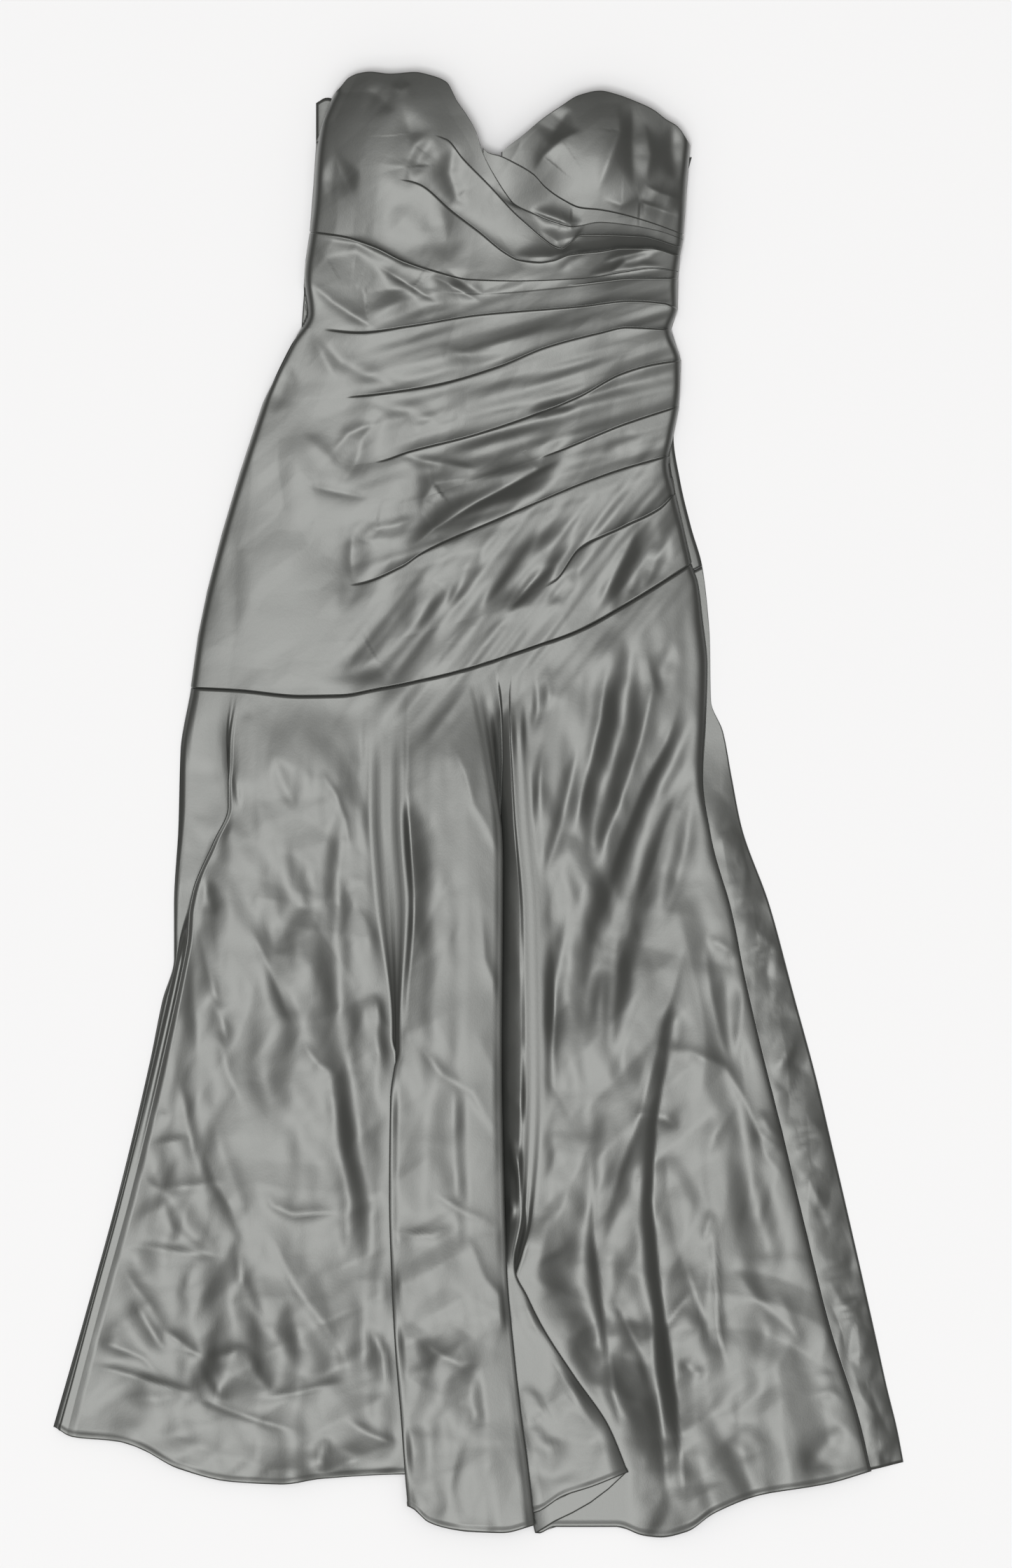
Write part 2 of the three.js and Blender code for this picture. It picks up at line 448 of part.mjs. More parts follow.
// The same path moved sideways in its own upright plane
function offset(path, distance) {
  return path.map((p, i) => {
    const before = path[Math.max(0, i - 1)];
    const after = path[Math.min(path.length - 1, i + 1)];
    const inTo = new THREE.Vector2(p.x - before.x, p.z - before.z).normalize();
    const outOf = new THREE.Vector2(after.x - p.x, after.z - p.z).normalize();
    const along = inTo.add(outOf).normalize();
    return new THREE.Vector3(p.x - along.y * distance, p.y, Math.max(FRONT_SEAT, p.z + along.x * distance));
  });
}

// A flat piece of the back between two lines, and between a left and a right edge
function backPiece(name, topLine, lowLine, leftOf, rightOf, rowFractions, columns, colour) {
  const points = (z) => rowFractions.map((v) => evenly(columns).map((u) => {
    let x = 0;
    let y = mix(topLine(x), lowLine(x), v);
    for (let pass = 0; pass < 6; pass += 1) {
      x = mix(leftOf(y, v), rightOf(y, v), u);
      y = mix(topLine(x), lowLine(x), v);
    }
    return new THREE.Vector3(x, y, z);
  }));
  return wall(name, points(BACK), points(0), colour);
}

// The back lies flat: two halves closed by a concealed zip down the centre back, and the skirt below the hip seam
function backPieces() {
  const left = curve(BACK_LEFT, 'y', 'x');
  const right = curve(BACK_RIGHT, 'y', 'x');
  const centre = curve(CENTRE_BACK, 'y', 'x');
  const neck = lineOf(BACK_NECKLINE);
  const seam = lineOf(BACK_HIP_SEAM);
  const hem = lineOf(BACK_HEM);
  const halfSeam = (x) => seam(x) + GAP / 2;
  const middle = centre(ZIP_END);
  const length = neck(middle) - halfSeam(middle);
  const zipEnd = (neck(middle) - ZIP_END) / length;
  const parted = (v) => (v <= zipEnd ? ZIP_WIDTH / 2 + GAP : GAP / 2);
  const rows = [...evenly(20), zipEnd, zipEnd + 1 / length].sort((p, q) => p - q);
  const zipRows = [...rows.filter((v) => v < zipEnd - 2 / length), zipEnd - 1.5 / length];
  return [
    backPiece('back_bodice_left', neck, halfSeam, left, (y, v) => centre(y) - parted(v), rows, 5, COLOURS.satin),
    backPiece('back_bodice_right', neck, halfSeam, (y, v) => centre(y) + parted(v), right, rows, 5, COLOURS.satin),
    backPiece('back_zip', neck, halfSeam, (y) => centre(y) - ZIP_WIDTH / 2, (y) => centre(y) + ZIP_WIDTH / 2,
      zipRows, 1, COLOURS.zip),
    backPiece('back_skirt', (x) => seam(x) - GAP / 2, hem, left, right, evenly(20), 16, COLOURS.inner),
  ];
}

const dress = new THREE.Group();
dress.add(bustWrap(), centreBand(), rightCup(), drapedMidriff(), frontSkirt(), ...backPieces());

export default dress;
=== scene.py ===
"""A strapless satin evening dress, laid on its back on a pale surface and seen from straight above.

The tables below are sizes of the laid dress in millimetres: +X to the right, +Y towards the neckline, +Z up.
Every piece is a thin closed shell worked out on a grid with numpy, and its mesh is in metres.
"""

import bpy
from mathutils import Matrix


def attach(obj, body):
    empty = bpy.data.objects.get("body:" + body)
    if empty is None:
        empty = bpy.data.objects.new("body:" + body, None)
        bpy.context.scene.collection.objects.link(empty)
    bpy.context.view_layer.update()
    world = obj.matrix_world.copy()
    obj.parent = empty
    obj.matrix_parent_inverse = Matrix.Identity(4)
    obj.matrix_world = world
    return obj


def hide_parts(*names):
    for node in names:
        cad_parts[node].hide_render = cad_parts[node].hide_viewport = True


bl_info = {
    "name": "Laid Satin Evening Dress",
    "version": (1, 0, 0),
    "blender": (4, 5, 0),
    "location": "View3D > Sidebar > Dress",
    "description": "Builds a strapless satin dress that lies on its back on a pale floor",
    "category": "Object",
}

import math

import bpy
import numpy as np

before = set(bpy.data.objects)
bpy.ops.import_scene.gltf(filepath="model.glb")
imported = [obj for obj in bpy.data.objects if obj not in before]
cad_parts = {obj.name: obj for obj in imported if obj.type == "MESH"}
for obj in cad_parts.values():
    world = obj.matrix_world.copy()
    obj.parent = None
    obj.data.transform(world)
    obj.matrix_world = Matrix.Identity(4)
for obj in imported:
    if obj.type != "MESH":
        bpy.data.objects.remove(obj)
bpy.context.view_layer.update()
MM = 0.001

# Driving sizes
CLOTH = 0.8  # thickness of a shell
BODICE = 1.6  # thickness of the bodice's wall, which its upper face follows
SATIN = 1.2  # the same for the skirt
BACK = 1.5  # height of the back, which lies on the floor
BACK_EDGE = 0.6  # share of that height that the back keeps at its side edges
BACK_UNDERSIDE = 0.02  # height of its lower face, just clear of the floor
BACK_SHARE, BACK_GROOVE = 0.3, -0.4  # share of its creases' heights where it is covered, and the deepest
SLIVER_LOFT = 4.6  # how far the back stands up at the seam beside the front
GAP = 0.3  # between pieces that are sewn together
ZIP_WIDTH = 6.0
ZIP_END = 255.0
FRONT_SEAT = BACK + GAP  # lowest height of the front's underside
SEAT = FRONT_SEAT + SATIN / 2  # and of the middle of the skirt's wall
BODY_SEAT = FRONT_SEAT + BODICE / 2  # and of the bodice's

# Rise of the front from its side seams
ROLL = 1.2  # how far in from a side seam the first of the rise takes
EDGE_EASE = 35.0  # and the last of it
SLOW_BELOW, SLOW_ABOVE = 0.5, 0.18  # share of the rise that comes last, below and above the hips
HIPS, HIPS_REACH = 180.0, 150.0  # where that share starts to change, and over what length
SEAM_ROLL = 3.0  # like ROLL, at the skirt's right seam
OPEN_SEAM = 0.2  # share of the height lost there where that seam lies open
OPEN_FROM, OPEN_REACH = 60.0, 90.0  # where it starts to lie open, and over what length
SAG, SAG_REACH = 0.36, 45.0  # share of its height that the skirt loses at that seam, and how far in

# Pleats
PLEAT_RISE = 2.6  # a folded pleat edge above the band that it lies on
PLEAT_ONSET = 45.0  # how far along a pleat its edge takes to lift
PLEAT_GAP = 0.2  # how far a band ends above the pleat below it
PLEAT_DIP = 1.9  # how far the cloth above a pleat's edge dips under it
PLEAT_DIP_REACH = 8.0  # and how far above the edge that starts
# Rounding of that edge: distance below it, and share of its rise
PLEAT_PROFILE = ((0.0, 0.25), (0.35, 0.72), (0.8, 0.93), (1.5, 1.0))
PLEAT_WAVE = 23.0  # length along a pleat over which its rise varies

# Skirt
TURN = 1.0  # bend radius where the skirt's cloth folds back
BEND_STEPS = 4  # faces along each bend
RUN_STEPS = 5  # and along the straight run between the two bends of a fold
RAMP = 1.4  # spacing of a fold's points where it has not folded over yet
RAMP_REACH = 130.0  # over which that spacing grows to a fold's wider one, above its start
RIGHT_LOFT = 12.0  # height of the skirt's right part beside the flap
FLAP_REACH = 60.0  # how far past the flap's edge the cloth takes to rise to that height
RECESS_RISE = 8.5  # how far the recess rises from the flute to the right part
RECESS_LOW, RECESS_HIGH, RECESS_FADE = -430.0, 120.0, 60.0  # between which it does, and how fast that starts
RECESS_LEAST = 8.0  # least width that it is taken to have
FLAP_START, FLAP_BLEND = -420.0, 40.0  # where the flap starts to lie over the right part, and how fast
FLAP_FADES = (24.0, 8.0)  # how far beside the flap creases take to grow, below and above its start
FLUTE_OVER, FLUTE_FADE = 45.0, 15.0  # how far in from its right edge the flute lies over the recess
SEAM_REACH = 80.0  # how far below the hip seam the skirt takes to leave the hips' form
SKIRT_TOP = 107.0
SKIRT_END = -610.0
SKIRT_ROWS = 266
ROW_DRIFT = 1.12  # above 1, the rows lie closer together towards the hem
CALM = 14.0  # creases take one part in so many of a panel's width to start beside a fold
SWELL = 1.3  # sharpness of the bend where creases may only swell upwards
FLUTE_SHARE = 0.75  # of the unevenness that the flute has
HEM_WIDTH = 6.0
HEM_RISE = 0.5  # of the turned hem above the cloth
HEM_EDGE = 1.5  # over which the turned hem rises
STITCH_DEPTH = 0.35  # of the groove along its stitches
STITCH_WIDTH = 0.9
STITCH_INSET = 1.0  # from the upper edge of the turned hem
GROOVE_LIMIT = -0.3  # so that the shell stays closed under the groove

# Creases
BODY_SHARE, SKIRT_SHARE = 0.66, 0.72  # of the tables' heights that is built
BODY_DROP = 0.6  # taken off the bodice's height before it settles, so that its edges lie low
CREASE_ROUND = 0.6  # radius that even the sharpest crease keeps
CREASE_REACH = 3.2  # widths from its line at which a crease ends
CREASE_TAPER = 2.6  # one part in so many of its length is what a crease takes to grow and to fade
CREASE_TIP = 0.4  # share of its width at its ends
LATTICE = 64  # random values along each side of a lattice
LARGEST = 60.0  # height above which settle gives no more

# Meshes
UNDER_STEP = 3  # rows and columns of a lower layer that one of its faces spans
ROUNDS = 8  # of finding where two lines cross

# Stage
FLOOR_HALF = 8.0
VIEW_CENTRE = (0.0252, 0.0192)  # where the photograph's middle lies
SENSOR = 36.0
WIDE_SHARE = 0.72  # power of the wide light beside the large one


def table(columns, *rows):
    """Rows of numbers as one array for each named column."""
    return dict(zip(columns.split(), np.array(rows, float).T))


# Outline and seams
LEFT_EDGE = table("y x", [648, -131], [638, -136], [620, -143], [593, -147], [549, -150], [522, -153],
    [480, -158], [448, -155], [419, -172], [386, -188], [354, -200], [240, -235], [188, -248], [153, -255],
    [107, -261.5], [50, -271], [-20, -273], [-92, -277], [-140, -277], [-178, -287], [-232, -298],
    [-350, -326], [-460, -356], [-567, -386])
RIGHT_EDGE = table("y x", [600, 193], [568, 190], [518, 187], [486, 182], [471, 181], [452, 181], [433, 175],
    [404, 184], [383, 184], [362, 182], [336, 177], [311, 173], [284, 179], [256, 186], [220, 194],
    [202, 200], [171, 204], [126, 208.5], [74, 207], [25, 204.5], [-30, 212], [-99, 231], [-154, 242],
    [-228, 259], [-300, 277], [-420, 306], [-475, 320], [-554, 345], [-607, 358])
BACK_LEFT = table("y x", [640, -148], [597, -148], [549, -149], [522, -152], [480, -157], [448, -154],
    [419, -171], [386, -187], [354, -199], [240, -234], [188, -247], [153, -254], [107, -261], [50, -271.5],
    [-20, -273.5], [-92, -277.5], [-140, -277.5], [-178, -288], [-232, -299], [-350, -327], [-460, -357],
    [-567, -387.5])
BACK_RIGHT = table("y x", [592, 195], [585, 193], [568, 189], [518, 186], [486, 181], [452, 180], [433, 174],
    [404, 182], [362, 181], [336, 178], [295, 184], [253, 194], [218, 204], [178, 209], [150, 211], [95, 212],
    [67, 223], [25, 231], [-20, 240], [-90, 265], [-175, 288], [-249, 308], [-300, 320], [-408, 345],
    [-488, 363], [-529, 372], [-570, 382], [-599, 387.5])
NECKLINE = table("x y", [-131, 648], [-126, 653], [-118, 662], [-109, 666], [-99, 667.4], [-80, 665.5],
    [-58, 667], [-43, 664], [-29, 658], [-19, 640], [-10, 627], [-1, 610], [2, 599], [9, 583], [18, 567],
    [25, 556], [33, 546], [49, 538], [69, 530], [86, 526], [111, 530], [134, 528], [166, 522], [186, 515])
CENTRE_EDGE = table("x y", [2, 599.5], [10, 593], [19, 591], [32, 585], [50, 574], [61, 562], [76, 551],
    [93, 543], [111, 541], [127, 538], [156, 530], [187, 519])
RIGHT_NECKLINE = table("x y", [19, 592], [27, 599], [39, 608], [58, 624], [74, 635], [92, 646], [111, 650],
    [125, 647], [144, 640], [159, 633], [171, 624], [181, 618], [193, 601])
UNDERBUST = table("x y", [-153, 522], [-121, 517], [-94, 508], [-68, 495], [-41, 486], [-7, 478], [37, 477],
    [93, 479], [132, 485], [160, 489], [182, 486])
HIP_SEAM = table("x y", [-261.5, 107], [-220, 105], [-161, 99.5], [-127, 100], [-92, 106], [-30, 119],
    [5, 129], [46, 143], [91, 159], [143, 188], [194, 220])
BACK_NECKLINE = table("x y", [-148, 640], [-138, 645], [-120, 636], [-70, 596], [-20, 580], [20, 576],
    [80, 576], [140, 580], [185, 589], [196, 591])
BACK_HIP_SEAM = table("x y", [-261, 107], [-130, 112], [0, 132], [100, 165], [204, 218])
BACK_HEM = table("x y", [-387.5, -567], [-340, -572], [-288, -592], [-223, -610], [-143, -608], [-64, -604],
    [10, -604], [60, -620], [110, -646], [164, -656], [203, -645], [256, -623], [320, -613], [358, -606],
    [387.5, -599])
CENTRE_BACK = table("y x", [620, 20], [500, 14], [300, -6], [107, -30])

# Pleats, top to bottom: where along it each edge starts to lift, and its line
BUST_PLEATS = [
    (-40, table("x y", [-150, 604], [-60, 612], [-29, 605], [-14, 588], [10, 564], [33, 539], [44, 529],
        [59, 516], [69, 509], [76, 507], [83, 511], [93, 519], [111, 519], [147, 518], [184, 508])),
    (-72, table("x y", [-152, 566], [-90, 570], [-63, 567], [-53, 564], [-24, 540], [0, 522], [25, 502],
        [37, 496], [56, 494], [69, 496], [83, 501], [111, 504], [132, 507], [156, 507], [183, 500])),
]
MIDRIFF_PLEATS = [
    (80, table("x y", [-156, 496], [-90, 480], [0, 467], [80, 473], [111, 477], [142, 480], [182, 480])),
    (-142, table("x y", [-156, 434], [-109, 430], [-62, 436], [-1, 446], [93, 454], [139, 459], [169, 457],
        [181, 452])),
    (-122, table("x y", [-196, 366], [-119, 371], [-70, 377], [-35, 383], [18, 399], [62, 417], [111, 430],
        [135, 435], [175, 433])),
    (-95, table("x y", [-216, 302], [-92, 312], [-62, 322], [-7, 336], [48, 354], [92, 372], [131, 393],
        [158, 401], [183, 405])),
    (55, table("x y", [-234, 246], [-80, 272], [20, 304], [65, 319], [92, 330], [131, 346], [182, 363])),
    (-118, table("x y", [-247, 194], [-115, 200], [-70, 217], [-52, 229], [20, 261], [92, 292], [131, 306],
        [173, 318])),
    (60, table("x y", [-255, 154], [-100, 150], [0, 172], [70, 204], [92, 233], [131, 253], [165, 270],
        [179, 284])),
]

# The laid skirt's own lines: the fold behind the left hip, the flute's two edges and the flap that it
# leaves
SKIRT_LINES = {
    "hip": table("y x", [107, -222], [56, -228], [-2, -228], [-33, -241], [-78, -260], [-135, -270],
        [-232, -291], [-350, -319], [-460, -349], [-570, -378]),
    "left": table("y x", [110, -84], [0, -84], [-100, -78], [-211, -75], [-255, -80], [-341, -81],
        [-410, -79], [-468, -76], [-527, -71], [-610, -64], [-642, -59]),
    "right": table("y x", [130, 2], [95, 10], [32, 17], [-54, 22], [-237, 21], [-344, 23], [-427, 26],
        [-504, 33], [-557, 39], [-601, 45], [-656, 51]),
    "flap": table("y x", [146, 44], [100, 36], [0, 40], [-100, 48], [-250, 50], [-370, 44], [-425, 34],
        [-447, 44], [-475, 58], [-520, 87], [-565, 118], [-608, 136]),
}
# How far each of those four folds lies over what is under it, and the heights of the cloth between them
OVERLAPS = table("y hip left right flap", [130, 0, 0, 0, 0], [40, 1, 0, 0, 0], [-20, 5, 0, 2, 0],
    [-70, 4, 0, 8, 0], [-130, 0, 0, 14, 0], [-211, 0, 0, 20, 0], [-260, 0, 12, 22, 0], [-341, 0, 24, 24, 0],
    [-404, 0, 30, 24, 0], [-430, 0, 32, 24, 2.4], [-458, 0, 34, 25, 8], [-500, 0, 37, 28, 34],
    [-545, 0, 40, 31, 52], [-608, 0, 44, 35, 84], [-662, 0, 46, 38, 84])
HEIGHTS = table("y side left flute recess right", [130, 9, 11, 11, 11, 11], [80, 7, 11, 12, 7, 11],
    [30, 4.5, 11, 14, 4.5, 12], [-60, 4, 10.5, 15, 4, 12], [-211, 7, 9, 15, 4, 12], [-341, 7, 7, 14.5, 4, 11],
    [-372, 6.7, 6.7, 14.2, 4.4, 9], [-404, 6.4, 6.4, 14, 8.6, 4], [-440, 6.2, 6.2, 14, 8.8, 3.8],
    [-520, 6, 6, 13.8, 8.6, 3.7], [-662, 6, 6, 13.5, 8.5, 3.6])
FRONT_HEM = {
    "left": table("x y", [-386, -567], [-370, -576], [-329, -580], [-309, -586], [-273, -605], [-223, -617],
        [-179, -619], [-143, -614], [-64, -610], [0, -610]),
    "flute": table("x y", [-70, -636], [-58, -642], [-46, -653], [-28, -659], [-8, -662], [22, -663],
        [51, -656]),
    "flap": table("x y", [0, -650], [51, -645], [77, -630], [104, -621], [136, -608]),
    "right": table("x y", [40, -655], [55, -664], [69, -658], [126, -658], [151, -666], [166, -667.4],
        [190, -662], [215, -645], [256, -629], [320, -618], [358, -607]),
}
LOFT = table("y height", [668, 20.5], [640, 22.5], [590, 23.5], [520, 24], [450, 19], [400, 16], [300, 13],
    [200, 11], [107, 9.5])
CUPS = table("x y wide tall height", [-74, 592, 84, 92, 15], [104, 588, 72, 80, 14], [16, 560, 40, 40, -4])

# Creases. Each is a height, below zero for a trough, its widths to the left and right of its line as one
# walks along it, its edge, from 1 for a sharp one to 2 for a soft one, and the line.
BODY_CREASES = [
    (-6, 15, 15, 2, (-54, 268), (-42, 294), (-7, 301), (20, 304), (48, 313), (87, 350)),
    (-7, 15, 15, 2, (-72, 224), (-40, 250), (0, 273), (40, 294), (80, 314)),
    (-2, 12, 12, 2, (-100, 262), (-112, 242), (-114, 205), (-125, 172)),
    (-5, 15, 15, 2, (-150, 116), (-90, 128), (-60, 160), (-45, 205), (-25, 228)),
    (-5, 12, 12, 2, (5, 172), (40, 205), (70, 240), (92, 268)),
    (-6, 12, 12, 2, (126, 168), (134, 196), (150, 228), (160, 262)),
    (-3, 15, 13, 1.6, (-130, 452), (-100, 440), (-60, 470), (-100, 495), (-140, 508)),
    (3.4, 14, 16, 1.5, (-120, 505), (-90, 488), (-60, 466), (-20, 450)),
    (-3.4, 12, 14, 1.6, (-70, 640), (-62, 610), (-66, 580), (-60, 556)),
    (-3.2, 14, 9, 1.5, (62, 600), (72, 618), (84, 634)),
    (-3.2, 12, 8, 1.5, (140, 640), (140, 600), (142, 560)),
    (-1.2, 14, 14, 2, (-128, 338), (-110, 322), (-112, 296)),
    # Cups
    (1.8, 6, 10, 1.5, (-42, 614), (-58, 600), (-66, 582), (-68, 562)),
    (-1.8, 9, 7, 1.6, (-40, 606), (-53, 588), (-59, 570)),
    (-2.6, 8, 9, 1.6, (-22, 603), (-27, 575), (-20, 552), (-8, 545)),
    (-1, 12, 12, 2, (-84, 544), (-62, 527), (-40, 516)),
    (-2.4, 14, 12, 2, (-146, 572), (-126, 570), (-108, 578)),
    (-1.4, 7, 10, 1.5, (-104, 652), (-88, 642), (-76, 630)),
    (0.8, 5, 5, 1.3, (-80, 655), (-70, 650), (-60, 656)),
    (2.2, 12, 16, 1.6, (-36, 548), (-30, 520), (-26, 492)),
    (3, 6, 12, 1.3, (50, 574), (60, 590), (76, 605), (96, 614)),
    (2.6, 7, 10, 1.4, (108, 556), (120, 588), (129, 612), (126, 640)),
    (2.8, 14, 7, 1.4, (152, 566), (156, 592), (150, 622)),
    (-3.4, 9, 9, 1.6, (176, 622), (176, 596), (180, 566)),
    (3.4, 6, 20, 1.1, (150, 564), (166, 556), (188, 549)),
    (-3, 5, 9, 1.3, (128, 544), (146, 549), (156, 545), (186, 534)),
    (2, 8, 5, 1.3, (112, 552), (130, 546), (150, 550), (166, 546)),
    # Hollows behind the hanging edges of the crossed-over bust
    (-4, 7, 5, 1.5, (46, 542), (70, 534), (84, 529), (96, 531)),
    (-2.6, 10, 5, 1.5, (56, 524), (72, 514), (84, 517), (98, 522)),
    (-3, 8, 5, 1.5, (30, 501), (48, 499), (66, 500), (84, 506), (96, 508)),
    (-2.4, 5, 3, 1.5, (112, 494), (128, 500), (150, 505), (170, 506)),
    (-1.2, 5, 6, 1.5, (72, 484), (84, 495), (104, 504)),
    (-2.2, 4, 4, 1.5, (118, 484), (134, 496), (160, 503)),
    (-2.4, 5, 3, 1.6, (98, 482), (120, 486), (150, 491), (172, 490)),
    # Under the bust seam
    (-3, 4, 8, 1.5, (-150, 517), (-110, 511), (-90, 502), (-68, 491), (-38, 482)),
    (2, 8, 10, 1.5, (-156, 476), (-138, 498), (-112, 504), (-88, 492)),
    (-2.6, 9, 6, 1.3, (-158, 480), (-132, 458), (-106, 441), (-88, 432)),
    (-2.6, 7, 5, 1.3, (-96, 494), (-74, 480), (-50, 465), (-34, 456)),
    (-2, 6, 5, 1.3, (-46, 483), (-28, 475), (-12, 466), (4, 457)),
    (1.8, 6, 5, 1.4, (-30, 488), (-12, 474), (8, 463)),
    # Midriff
    (-1.6, 9, 7, 1.7, (-146, 426), (-124, 404), (-100, 392), (-66, 380)),
    (1.4, 7, 9, 1.4, (-152, 430), (-138, 402), (-128, 386)),
    (-1.8, 10, 8, 1.8, (-104, 368), (-66, 360), (-30, 346)),
    (1.5, 5, 8, 1.3, (-134, 320), (-118, 338), (-106, 343), (-88, 348)),
    (-1.4, 8, 7, 1.4, (-84, 362), (-104, 336), (-112, 310), (-130, 286)),
    (-1.4, 6, 6, 1.3, (-158, 292), (-128, 285), (-98, 279)),
    (-2, 5, 6, 1.6, (-74, 319), (-42, 312), (0, 306)),
    (1.3, 9, 9, 1.6, (-160, 338), (-142, 322), (-126, 306)),
    (-1.4, 5, 10, 1.3, (-52, 262), (-50, 278), (-40, 293), (-4, 299)),
    (-4, 10, 5, 1.5, (-66, 230), (-40, 253), (0, 277), (44, 300), (82, 320)),
    (1.2, 5, 8, 1.3, (-56, 262), (-74, 255), (-92, 252), (-104, 258)),
    (-1, 6, 9, 1.5, (-112, 240), (-80, 243), (-40, 256)),
    (-1.2, 9, 5, 1.3, (-114, 252), (-116, 225), (-113, 200)),
    (-3.6, 7, 8, 1.7, (2, 172), (26, 204), (46, 232), (58, 252)),
    (-3.8, 6, 7, 1.7, (26, 176), (50, 200), (72, 222)),
    (-2.6, 6, 7, 1.8, (-28, 178), (-10, 214), (4, 236)),
    (-2.4, 6, 6, 1.8, (62, 180), (80, 200), (92, 216)),
    (2.4, 6, 8, 1.5, (12, 160), (40, 186), (66, 212), (88, 240)),
    (2.6, 6, 6, 1.5, (108, 178), (122, 204), (138, 236), (146, 256)),
    (-3.2, 6, 7, 1.6, (150, 194), (162, 222), (176, 246)),
    (-1.2, 8, 7, 1.7, (112, 318), (128, 328), (150, 334)),
    (-2, 5, 5, 1.6, (44, 356), (70, 362), (92, 364)),
    (-1.2, 6, 8, 1.6, (-40, 418), (-8, 409), (24, 412)),
    (-1.8, 10, 10, 2, (-170, 404), (-180, 380), (-190, 356)),
    (1.2, 14, 14, 2, (-160, 352), (-166, 300), (-168, 240)),
    (-1.2, 10, 10, 2, (-220, 250), (-226, 200), (-222, 150)),
]
